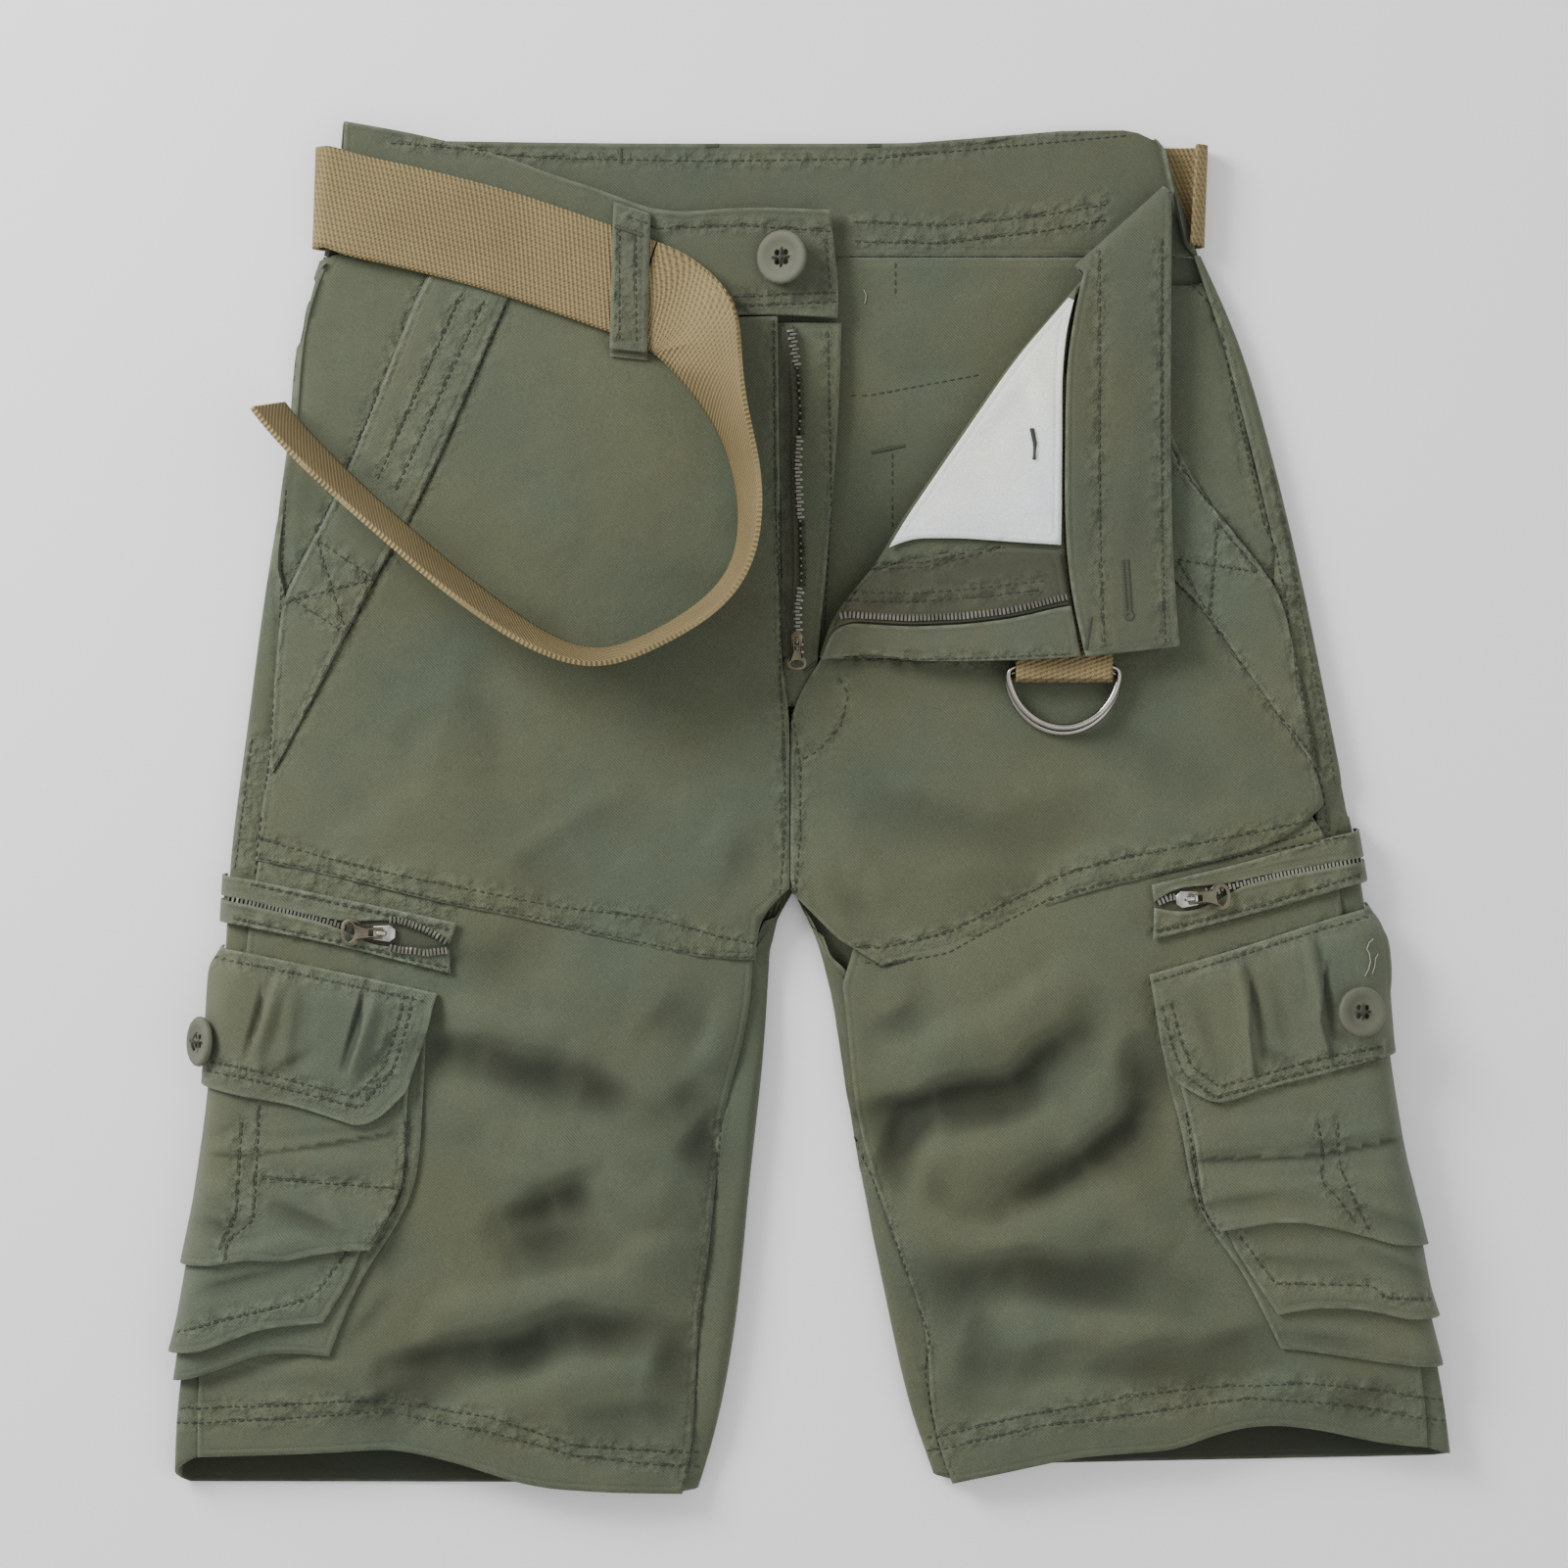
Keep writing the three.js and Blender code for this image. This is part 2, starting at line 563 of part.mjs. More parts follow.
// Lower fronts, from the yoke seam to the hem
for (const [side, half] of Object.entries(halves)) {
  const yoke = YOKES[side].map(([x, y]) => [x, y - CURVED_GAP]);
  const hem = FRONT_HEMS[side];
  sewnPiece(`front_lower_${side}`, twill, half, {
    bottom: edge(hem),
    top: edge(yoke),
    inner: seamEdge(half, 'inseam', hem[0][1], yoke[0][1]),
    outer: seamEdge(half, 'sideSeam', hem[hem.length - 1][1], yoke[yoke.length - 1][1]),
  }, { columns: 15, rows: 14, lift: 0, thickness: CLOTH });
}

// Slant pocket openings, from the waist down to the side seam
const OPENINGS = {
  right: [[151, 226], [157.6, 215.4], [187.6, 140.2], [193.6, 126.2], [215.4, 86]],
  left: [[134, 213], [144.4, 150.2], [149.6, 138.6], [169.6, 114.6], [190.8, 88.2]],
};

// Upper front, right: from the waistband to the yoke, between fly and slant pocket
const rightYoke = YOKES.right;
sewnPiece('front_upper_right', twill, halves.right, {
  bottom: edge(rightYoke),
  top: edge([[14, 200.3], [49, 199.3], [85, 205.3], [125, 218.3], [151, 225.6]]),
  inner: edge([[23, -61], [23.2, -46], [19, -38], [12.5, -34.5], [9.15, -32], [9.15, 40],
    [12.8, 60], [13.2, 130], [14, 200.3]]),
  outer: edge([[225.6, -20.5], [222.8, 1.4], [219.6, 23.8], [217.2, 63.4],
    ...OPENINGS.right.slice().reverse()]),
}, { columns: 12, rows: 15, lift: 0, thickness: CLOTH });

// Stitched bands along the slant pockets, lying on the fronts
const BAND_EDGES = {
  right: {
    inner: [[218.4, 15], [202.4, 44.2], [189.2, 70.2], [177.2, 93.4], [156.4, 130.6], [120, 215.6]],
    outer: [[220, 18], [217, 63.4], [214.6, 86], [193, 126], [187, 140], [157, 215.4],
      [150.6, 225]],
  },
  left: {
    inner: [[205.4, 15], [189.6, 37.8], [174.4, 59], [161.2, 78.2], [147.6, 92.2], [133, 108]],
    outer: [[203, 24], [193.4, 75], [190.2, 88.2], [169, 114.6], [149, 138.6], [146, 146]],
  },
};
for (const [side, half] of Object.entries(halves)) {
  const { inner, outer } = BAND_EDGES[side];
  sewnPiece(`pocket_band_${side}`, twillPocket, half, {
    inner: edge(inner),
    outer: edge(outer),
    bottom: edge([inner[0], outer[0]]),
    top: edge([inner[inner.length - 1], outer[outer.length - 1]]),
  }, { columns: 3, rows: 10, lift: SEAM_GAP + 1, thickness: 1 });
}

// Hip bearers, one layer down, tucked under the pocket openings
const HIP_DROP = CLOTH + 0.4;
const HIP_TUCK = 5.5;
const HIP_INSET = 1.4;
for (const [side, half] of Object.entries(halves)) {
  const opening = OPENINGS[side].slice().reverse().map(([x, y]) => [x - HIP_TUCK, y]);
  const lowest = opening[0][1];
  const highest = opening[opening.length - 1][1];
  sewnPiece(`hip_${side}`, twill, half, {
    inner: edge(opening),
    outer: seamEdge(half, 'sideSeam', lowest, highest, -HIP_INSET),
    bottom: edge([opening[0], [section(half, 'sideSeam', lowest) - HIP_INSET, lowest]]),
    top: edge([opening[opening.length - 1],
      [section(half, 'sideSeam', highest) - HIP_INSET, highest]]),
  }, { columns: 5, rows: 10, lift: -HIP_DROP, thickness: CLOTH });
}

// Front waistband, right: from the fly end to the side
const FRONT_BAND_LIFT = 0.6;
sewnPiece('waistband_front_right', twillBand, halves.right, {
  bottom: edge([[-10.4, 199.6], [13, 201.2], [49, 200.4], [85, 206.4], [125, 219.4], [151, 227.4],
    [192, 231]]),
  top: edge([[-7.4, 243.4], [29.2, 244.6], [51.6, 242.2], [66, 243.4], [85.2, 251.4],
    [107.6, 258.2], [124.8, 265.4], [158.8, 273.8], [189.5, 279.6]]),
  inner: edge([[-10.4, 199.6], [-11.2, 208], [-7.4, 243.4]]),
  outer: edge([[192, 231], [189.5, 279.6]]),
}, { columns: 14, rows: 4, lift: FRONT_BAND_LIFT, thickness: WAISTBAND });

// Fly shield and zip tape, right, tucked under the front's fly edge
const SHIELD_EDGE = [[-1, 42], [-2, 60], [-3.4, 77], [-4.8, 85.8], [-6.8, 108.2], [-9.2, 139],
  [-11.2, 167], [-12, 198]];
const SHIELD_DROP = 3.2;
const TAPE_DROP = 1.75;
sewnPiece('fly_shield', twill, halves.right, {
  inner: edge(SHIELD_EDGE),
  outer: edge([[18, 42], [21, 198]]),
  bottom: edge([[-1, 42], [18, 42]]),
  top: edge([[-12, 198], [21, 198]]),
}, { columns: 4, rows: 8, lift: -SHIELD_DROP, thickness: CLOTH });
const ZIP_LINE_RIGHT = [[6.4, 62], [7.2, 81], [5.6, 93.4], [6, 114.6], [7.2, 139], [6, 161.4],
  [7.2, 178.2], [9.6, 196.5]];
const TAPE_THICKNESS = 0.8;
const TEETH = { height: 1.4, width: 2.4 };
const teethLift = (base) => (u) => base + (u < 0.02 || u > 0.3 ? 0 : TEETH.height);
sewnPiece('fly_tape_right', tape, halves.right, {
  inner: edge(ZIP_LINE_RIGHT.map(([x, y]) => [x - TEETH.width, y])),
  outer: edge([[17, 62], [19, 196.5]]),
  bottom: edge([[4, 62], [17, 62]]),
  top: edge([[7.2, 196.5], [19, 196.5]]),
}, { columns: [0, 0.08, 0.26, 0.34, 1], rows: 9, lift: teethLift(-TAPE_DROP),
  thickness: TAPE_THICKNESS });

// Belt loop on the right front, over the belt
const LOOP_THICKNESS = 1.1;
const LOOP_ROWS = [0, 0.02, 0.05, 0.3, 0.5, 0.7, 0.9, 0.96, 1];
const LOOP_LIFTS = [[0, 1.6], [0.02, 1.9], [0.05, 5.7], [0.9, 5.7], [0.96, 2.8], [1, 2.1]];
function readRows(rows, share) {
  let k = 1;
  while (k < rows.length - 1 && rows[k][0] < share) k += 1;
  const t = clamp((share - rows[k - 1][0]) / (rows[k][0] - rows[k - 1][0]), 0, 1);
  return lerp(rows[k - 1][1], rows[k][1], t);
}
sewnPiece('belt_loop', twillBand, halves.right, {
  inner: edge([[66.8, 182], [65.4, 241.5]]),
  outer: edge([[82, 183.6], [80.4, 246.4]]),
  bottom: edge([[66.8, 182], [82, 183.6]]),
  top: edge([[65.4, 241.5], [80.4, 246.4]]),
}, { columns: 2, rows: LOOP_ROWS, lift: (u, v) => readRows(LOOP_LIFTS, v),
  thickness: LOOP_THICKNESS });

// The left front is turned back on this line, from the waistband down to the fly's foot
const TURN_LINE = [[1.5, 62], [5.2, 76.6], [17, 92], [28, 104.2], [32.4, 114.6], [79.6, 183], [108.4, 216]];
const TURN = { radius: 2, inset: 3.4 };
const turnEdge = edge(TURN_LINE);

// The bend's centre at a share up the line, and the way out across it
function turnAt(share) {
  const [x, y] = turnEdge(share);
  const [ax, ay] = turnEdge(Math.max(share - 0.05, 0));
  const [bx, by] = turnEdge(Math.min(share + 0.05, 1));
  const out = new THREE.Vector3(-(by - ay), bx - ax, 0).normalize();
  return { x: x - out.x * TURN.inset, y: y - out.y * TURN.inset, out };
}

// Height of the turned cloth's lower face over a plan point
const RING_CENTRE = { x: 101, y: 56 };
const RING_HUMP = 9.8;
function turnedHeight(x, y) {
  const { distance } = nearPath(TURN_LINE, x, y);
  const away = smooth((distance - TURN.inset) / 26);
  const hump = Math.exp(-(((x - RING_CENTRE.x) / 48) ** 2) - ((y - RING_CENTRE.y) / 26) ** 2);
  return frontHeight(halves.left, x, y) + 2 * TURN.radius + away * (1.4 + RING_HUMP * hump);
}

// Upper front, left, the layer that lies right side up
const leftYoke = YOKES.left.slice().reverse();
const underEdge = edge([...OPENINGS.left, [194, 75], [201.6, 30], [208.8, -5], ...leftYoke,
  [10, -50], [5, -40], [-4, -34.5], [-8.85, -33]]);
const LAP_GAP = 0.35;
const lowerTurn = [[-8.85, 36], [-4.8, 48], [1.5, 58]];
function leftUnderPoint(u, v) {
  const share = 1 - v;
  const bend = turnAt((v - 0.16) / 0.84);
  const turned = { x: bend.x - bend.out.x * LAP_GAP, y: bend.y - bend.out.y * LAP_GAP };
  const [lx, ly] = edge(lowerTurn)(v / 0.16);
  const fold = v > 0.16 ? turned : { x: lx, y: ly };
  const [x, y] = underEdge(share);
  const half = halves.left;
  const from = unroll(half, fold.x, fold.y);
  const to = unroll(half, x, y);
  return raised(half, lerp(from, to, u), lerp(fold.y, y, u), 0);
}
const leftUnder = wallMesh('front_upper_left', twill, leftUnderPoint, 9, 17, CLOTH, 1);

// The bend and the turned part of the same front, wrong side up
const BAND_SEAM = [[108, 62.2], [104.8, 80.2], [102.4, 98.6], [101.2, 114.6], [101.6, 178.2],
  [104, 195.4], [107.2, 212]];
function leftTurnedPoint(u, v) {
  const bend = 0.3;
  const { x, y, out } = turnAt(v);
  const z = frontHeight(halves.left, x, y);
  if (u <= bend) {
    const angle = lerp(-Math.PI / 2, Math.PI / 2, u / bend);
    const reach = TURN.radius * Math.cos(angle);
    return new THREE.Vector3(x + out.x * reach, y + out.y * reach,
      z + TURN.radius * (1 + Math.sin(angle)));
  }
  const share = (u - bend) / (1 - bend);
  const seam = edge(BAND_SEAM)(v);
  const px = lerp(x, seam[0], share);
  const py = lerp(y, seam[1], share);
  return new THREE.Vector3(px, py, turnedHeight(px, py));
}
const leftTurned = wallMesh('front_turned_left', twill, leftTurnedPoint,
  [0, 0.06, 0.12, 0.18, 0.24, 0.3, 0.44, 0.58, 0.72, 0.86, 1], 12, CLOTH, 1);

// A short lap joins the bend to the layer below it
const LAP = { drop: 0.25, inside: 1.6, outside: -1, thickness: 0.9 };
function lapPoint(u, v) {
  const { x, y, out } = turnAt(v);
  const z = frontHeight(halves.left, x, y) - LAP.drop;
  const reach = lerp(LAP.inside, LAP.outside, u);
  return new THREE.Vector3(x - out.x * reach, y - out.y * reach, z);
}
const lap = wallMesh('lap', twill, (u, v) => lapPoint(1 - u, v), 1, 12,
  LAP.thickness, 1);
const SLIVER = 0.02;
group.add(fromManifold(toManifold(leftUnder.geometry).add(toManifold(lap.geometry))
  .add(toManifold(leftTurned.geometry)).setTolerance(SLIVER).simplify(), 'front_upper_left', twill));

// What lies on the turned front: its wrong side is up
function turnedPatch(name, material, edges, columns, rows, lift, thickness) {
  const flat = patch(edges);
  const faceAt = (u, v) => {
    const [x, y] = flat(u, v);
    return new THREE.Vector3(x, y, turnedHeight(x, y) + CLOTH + lift);
  };
  group.add(wallMesh(name, material, faceAt, columns, rows, thickness, 1));
}

turnedPatch('pocket_bag_left', lining, {
  bottom: edge([[31, 106], [40, 109.8], [60.4, 109.8], [81.2, 108.2], [100.4, 107]]),
  top: edge([[103.6, 207], [105.8, 206]]),
  inner: edge([[31, 106], [36, 115], [82, 182], [103.6, 207]]),
  outer: edge([[100.4, 107], [100.7, 114.6], [101, 178], [103, 195], [105.8, 206]]),
}, 7, 9, SEAM_GAP + LINING, LINING);

const FACING_THICKNESS = 1.1;
const TURNED_TAPE_THICKNESS = 0.9;
turnedPatch('fly_facing_left', twillBand, {
  bottom: edge([[3.5, 60.6], [10.4, 61.8], [26, 63], [33.2, 60.8], [46.8, 59.8], [67.6, 60],
    [88, 60.4], [107.4, 61.8]]),
  top: edge([[8, 72], [14.4, 75.6], [26, 74.6], [40, 73.8], [60.4, 74.6], [78, 76.6], [88, 78.6],
    [98.4, 81.4], [104.2, 82.2]]),
  inner: edge([[3.5, 60.6], [5.6, 66], [8, 72]]),
  outer: edge([[107.4, 61.8], [104.2, 82.2]]),
}, 14, 2, SEAM_GAP + FACING_THICKNESS, FACING_THICKNESS);

turnedPatch('fly_tape_left', tape, {
  bottom: edge([[9, 73.4], [14.4, 76.6], [26, 75.6], [40, 74.8], [60.4, 75.6], [78, 77.6],
    [88, 79.6], [98.4, 82.4], [103.4, 83]]),
  top: edge([[26, 97], [43.2, 101.6], [60, 104.5], [81.2, 105.6], [100, 104.6]]),
  inner: edge([[9, 73.4], [15, 85], [26, 97]]),
  outer: edge([[103.4, 83], [101.6, 95], [100, 104.6]]),
}, 12, [0, 0.1, 0.5, 1], SEAM_GAP + TURNED_TAPE_THICKNESS, TURNED_TAPE_THICKNESS);

// Front waistband, left: turned back with the front, so that it runs down over it
const STRIP = {
  seam: [[109.6, 61.4], [105.6, 80.2], [103.2, 98.6], [102, 114.6], [102.4, 178.2],
    [104.8, 195.4], [109.6, 217]],
  edge: [[147.6, 65.8], [146.4, 85.4], [145.2, 113], [144.6, 167], [145, 212.2], [145.2, 249]],
  end: [[144.4, 224], [145, 252]],
};
const STRIP_RISE = 5.6;
const STRIP_BEND = STRIP_RISE / 2;
const stripHump = (x, y) => turnedHeight(x, y) - frontHeight(halves.left, x, y)
  - 2 * TURN.radius - 1.4;
const stripEdges = {
  bottom: edge([STRIP.seam[0], STRIP.edge[0]]),
  top: edge([STRIP.seam[STRIP.seam.length - 1], STRIP.edge[STRIP.edge.length - 1]]),
  inner: edge(STRIP.seam),
  outer: edge(STRIP.edge),
};
function stripPoint(u, v) {
  const bendStart = 0.74;
  const bendEnd = 0.86;
  const half = halves.left;
  const [cx, cy] = stripEdges.top(u);
  const base = frontHeight(half, cx, cy) + FRONT_BAND_LIFT;
  if (v <= bendStart) {
    const [x, y] = patch(stripEdges)(u, v / bendStart);
    const rise = STRIP_RISE + Math.max(stripHump(x, y), 0) * smooth((bendStart - v) / 0.1);
    return new THREE.Vector3(x, y, frontHeight(half, x, y) + FRONT_BAND_LIFT + rise);
  }
  const [ax, ay] = stripEdges.top(0);
  const [bx, by] = stripEdges.top(1);
  const out = new THREE.Vector3(-(by - ay), bx - ax, 0).normalize();
  if (v <= bendEnd) {
    const angle = lerp(Math.PI / 2, -Math.PI / 2, (v - bendStart) / (bendEnd - bendStart));
    const reach = STRIP_BEND * Math.cos(angle);
    return new THREE.Vector3(cx + out.x * reach, cy + out.y * reach,
      base + STRIP_BEND * (1 + Math.sin(angle)));
  }
  const [ex, ey] = edge(STRIP.end)(u);
  const share = (v - bendEnd) / (1 - bendEnd);
  return new THREE.Vector3(lerp(cx, ex, share), lerp(cy, ey, share), base);
}
group.add(wallMesh('waistband_front_left', twillBand, stripPoint, 3,
  [0, 0.09, 0.18, 0.28, 0.38, 0.48, 0.58, 0.68, 0.74, 0.77, 0.8, 0.83, 0.86, 0.93, 1],
  WAISTBAND, -1));

// Cargo pockets: gusset, upper panel, lower panel and flap, each lying on the one before
const CARGO = {
  right: {
    gusset: {
      inner: [[195, -220.5], [190.4, -207.8], [183.2, -190.6], [174.8, -177.4], [164.4, -164.6],
        [159.2, -151.4], [157.2, -125.4], [156, -81]],
      bottom: [[195, -220.5], [203, -219.8], [220, -218.2], [242, -227], [262, -233]],
      top: [[156, -81], [200, -71], [238, -63], [245, -62]],
    },
    upper: {
      inner: [[178, -177], [169.6, -162.6], [164.4, -151.4], [163.6, -125.4], [161, -84]],
      bottom: [[178, -177], [194.4, -177.4], [214.4, -182.2], [226.8, -180.2], [236.4, -182.6],
        [253.5, -185.4]],
      top: [[161, -84], [200, -75], [238, -67], [245, -66]],
    },
    lower: {
      inner: [[197.2, -206.6], [186, -189], [180, -172]],
      bottom: [[197.2, -206.6], [222.4, -208.6], [242.4, -216.6], [260, -221.8]],
      top: [[180, -172], [214.4, -176], [226.8, -174], [252, -179]],
    },
    flap: {
      inner: [[162.4, -113], [159.2, -98.2], [153.2, -83.8], [151.2, -74.2]],
      bottom: [[162.4, -113], [178.8, -128.6], [207.6, -119], [230.8, -115], [247, -110]],
      top: [[151.2, -74.2], [184, -67], [214.4, -60.6], [238.8, -55.8], [245, -55]],
    },
    button: { beyond: -1.5, y: -94, tilt: 0 },
  },
  left: {
    gusset: {
      inner: [[189.2, -217.4], [184.8, -213.4], [179.2, -195], [168, -177], [160, -169.4],
        [153.2, -160.2], [151.6, -141.8], [148, -121.8], [141.6, -105.4], [140, -74]],
      bottom: [[189.2, -217.4], [200.4, -218.2], [226, -222.6], [259, -226]],
      top: [[140, -74], [176, -63], [206, -53], [232, -46]],
    },
    upper: {
      inner: [[163, -169.6], [157, -159.4], [155.5, -141.8], [151.5, -121.8], [147, -108],
        [145, -78]],
      bottom: [[163, -169.6], [172, -167.8], [190, -165], [213.2, -167.8], [217.6, -170.2],
        [248, -178.6]],
      top: [[145, -78], [178, -67], [208, -57], [232.5, -50]],
    },
    lower: {
      inner: [[187.6, -203.4], [177.2, -187.8], [169.5, -176], [165, -164.5]],
      bottom: [[187.6, -203.4], [203.2, -199.8], [223.2, -200.6], [235.2, -204.2], [253.5, -207]],
      top: [[165, -164.5], [190, -159.5], [213, -162.5], [247, -172]],
    },
    flap: {
      inner: [[145.2, -109], [141.6, -96.2], [137.2, -76.6], [136, -66.6]],
      bottom: [[145.2, -109], [162.8, -119.4], [180, -112.6], [208.4, -105.4], [236, -98]],
      top: [[136, -66.6], [175.6, -55], [205.6, -45], [226, -39.4], [232, -38]],
    },
    button: { beyond: -9, y: -81.5, tilt: 0.25 },
  },
};
const CARGO_WRAP = 4;
const GUSSET_LIFT = LAID_GAP + POCKET_CLOTH;
const PANEL_LIFT = GUSSET_LIFT + LAID_GAP + POCKET_CLOTH;
const FLAP_LIFT = PANEL_LIFT + SEAM_GAP + POCKET_CLOTH + 2.1;
const TUCKS = [0.34, 0.64];
const FLAP_COLUMNS = [0, 0.1, 0.2, 0.3, 0.34, 0.38, 0.5, 0.6, 0.64, 0.68, 0.8, 0.85, 0.9, 0.95, 1];
const ROUND_COLUMNS = 5;

// Edges of a pocket piece. The outer one runs down the rounded side, past the outline.
function pocketEdges(half, shape) {
  const ends = [shape.bottom, shape.top].map((points) => {
    const y = points[points.length - 1][1];
    return [section(half, 'outer', y) + CARGO_WRAP, y];
  });
  const close = (points, end) => edge([...points.slice(0, -1), end]);
  return {
    inner: edge(shape.inner),
    bottom: close(shape.bottom, ends[0]),
    top: close(shape.top, ends[1]),
    outer: (share) => {
      const y = lerp(ends[0][1], ends[1][1], share);
      return [section(half, 'outer', y) + CARGO_WRAP, y];
    },
  };
}

const bulge = (u, v) => Math.sin(Math.PI * u) * Math.sin(Math.PI * v);
const CARGO_LIFTS = {
  gusset: () => GUSSET_LIFT,
  upper: (u, v) => PANEL_LIFT + 3.4 * (1 - smooth(v / 0.3)) + 1.4 * bulge(u, v),
  lower: (u, v) => PANEL_LIFT + 0.9 * smooth(u / 0.5) + 1.4 * (1 - smooth(v / 0.3)) * smooth(u / 0.2),
  flap: (u, v) => {
    const tucks = TUCKS.reduce((sum, at) => sum + 1 - smooth(Math.abs(u - at) / 0.05), 0);
    const hang = smooth((1 - v) / 0.16);
    return lerp(GUSSET_LIFT, FLAP_LIFT, hang) + 0.9 * tucks * hang * smooth(v / 0.3);
  },
};
const CARGO_GRIDS = {
  gusset: [4, 8],
  upper: [5, 8],
  lower: [4, 4],
  flap: [FLAP_COLUMNS, [0, 0.15, 0.4, 0.7, 0.86, 0.93, 1]],
};

// Columns spaced widely over the flat front and closely round the side
function sideColumns(half, edges, count) {
  const [innerX, y] = edges.inner(0.5);
  const near = unroll(half, innerX, y);
  const far = unroll(half, section(half, 'outer', y) + CARGO_WRAP, y);
  const turn = (rounds(half, y).outerStart - near) / (far - near);
  const flat = evenly(count).map((share) => share * turn);
  const round = evenly(ROUND_COLUMNS).slice(1).map((share) => lerp(turn, 1, share));
  return [...flat, ...round];
}

for (const [side, half] of Object.entries(halves)) {
  for (const part of Object.keys(CARGO_GRIDS)) {
    const [count, rows] = CARGO_GRIDS[part];
    const edges = pocketEdges(half, CARGO[side][part]);
    const columns = Array.isArray(count) ? count : sideColumns(half, edges, count);
    sewnPiece(`cargo_${part}_${side}`, twillPocket, half, edges,
      { columns, rows, lift: CARGO_LIFTS[part], thickness: POCKET_CLOTH, clear: true });
  }
}

// Zip pockets above the cargo pockets: a tape and two welts that part round the slider
const ZIPS = {
  right: {
    frame: {
      top: [[143.2, -45.8], [175, -39], [225.6, -28.6], [243, -26]],
      bottom: [[146, -66.2], [193.6, -54.2], [238, -45.5], [243, -44.5]],
    },
    lips: {
      upper: [[146.4, -54.2], [156, -48.6], [166, -44.9], [179, -44.2], [187, -45.8],
        [203.6, -42.2], [236, -35], [243, -34]],
      lower: [[146.6, -56.4], [156, -57], [166, -55.6], [179, -54.8], [189, -48], [203.6, -44],
        [236, -36.8], [243, -35.8]],
    },
    slider: { x: 172.6, y: -49.9, heading: 0.03 },
  },
  left: {
    frame: {
      top: [[137, -30.4], [174, -21.6], [210, -11], [225, -8]],
      bottom: [[137.6, -52.4], [180, -41.5], [222.8, -29.4], [229, -28]],
    },
    lips: {
      upper: [[138, -37.4], [144, -32.4], [150, -31], [158, -30.8], [164, -30.6], [190, -25],
        [222.4, -19.4], [229, -18.4]],
      lower: [[138, -39.6], [144, -41.6], [152, -41.6], [161, -39], [171, -31.4], [190, -27],
        [222.4, -21.2], [229, -20.2]],
    },
    slider: { x: 151.2, y: -36.2, heading: 0.08 },
  },
};
const TAPE_LIFT = 0.5 + TAPE_THICKNESS;
const TAPE_UNDERLAP = 2;
const WELT_THICKNESS = 1.1;
const WELT_LIFT = TAPE_LIFT + SEAM_GAP + WELT_THICKNESS;
const insetEdge = (points, shift) => points.map(([x, y]) => [x, y + shift]);

// A strip of a zip pocket between a lower and an upper line
function zipStrip(name, material, half, low, high, columns, rows, lift, thickness) {
  const shape = { bottom: low, top: high, inner: [low[0], high[0]] };
  const edges = pocketEdges(half, shape);
  sewnPiece(name, material, half, edges,
    { columns: sideColumns(half, edges, columns), rows, lift, thickness, clear: true });
}

for (const [side, half] of Object.entries(halves)) {
  const { frame, lips } = ZIPS[side];
  zipStrip(`zip_tape_${side}`, tape, half, insetEdge(lips.lower, -TAPE_UNDERLAP),
    insetEdge(lips.upper, TAPE_UNDERLAP), 7, 1, TAPE_LIFT, TAPE_THICKNESS);
  zipStrip(`zip_welt_upper_${side}`, twillPocket, half, lips.upper, frame.top, 8, 1, WELT_LIFT,
    WELT_THICKNESS);
  zipStrip(`zip_welt_lower_${side}`, twillPocket, half, frame.bottom, lips.lower, 8, 1, WELT_LIFT,
    WELT_THICKNESS);
}

// Zip sliders and pulls, drawn with the pull along +X, the tape's face at Z = 0
const SLIDER = { length: 9, width: 7, height: 2.2, bridge: 1.6, leg: 1, headroom: 2.1 };
const PULL = { length: 17, neck: 4.8, ring: 11, thickness: 0.9, bar: 1, eye: 4.6, eyeWidth: 2.6 };
const PULL_AXIS = { x: 1, z: SLIDER.height + SLIDER.headroom / 2 };

function extruded(shape, depth) {
  return new THREE.ExtrudeGeometry(shape, { depth, bevelEnabled: false, curveSegments: 4 });
}

function sliderSolid(scale) {
  const { length, width, height, bridge, leg, headroom } = SLIDER;
  const plan = new THREE.Shape();
  plan.moveTo(-length / 2, -width / 4);
  plan.lineTo(-length / 4, -width / 2);
  plan.lineTo(length / 2, -width / 2.6);
  plan.lineTo(length / 2, width / 2.6);
  plan.lineTo(-length / 4, width / 2);
  plan.lineTo(-length / 2, width / 4);
  plan.closePath();
  const body = extruded(plan, height);
  const back = PULL_AXIS.x - PULL.bar / 2 - 0.7;
  const front = PULL_AXIS.x + PULL.bar / 2 + 0.7;
  const top = height + headroom;
  const arch = new THREE.Shape();
  arch.moveTo(back - leg, height - 0.4);
  arch.lineTo(back - leg, top);
  arch.lineTo(back - leg / 2, top + leg);
  arch.lineTo(front + leg / 2, top + leg);
  arch.lineTo(front + leg, top);
  arch.lineTo(front + leg, height - 0.4);
  arch.lineTo(front, height - 0.4);
  arch.lineTo(front, top);
  arch.lineTo(back, top);
  arch.lineTo(back, height - 0.4);
  arch.closePath();
  const staple = extruded(arch, bridge);
  staple.rotateX(Math.PI / 2);
  staple.translate(0, bridge / 2, 0);
  for (const geometry of [body, staple]) geometry.scale(scale, scale, scale);
  return toManifold(body).add(toManifold(staple));
}

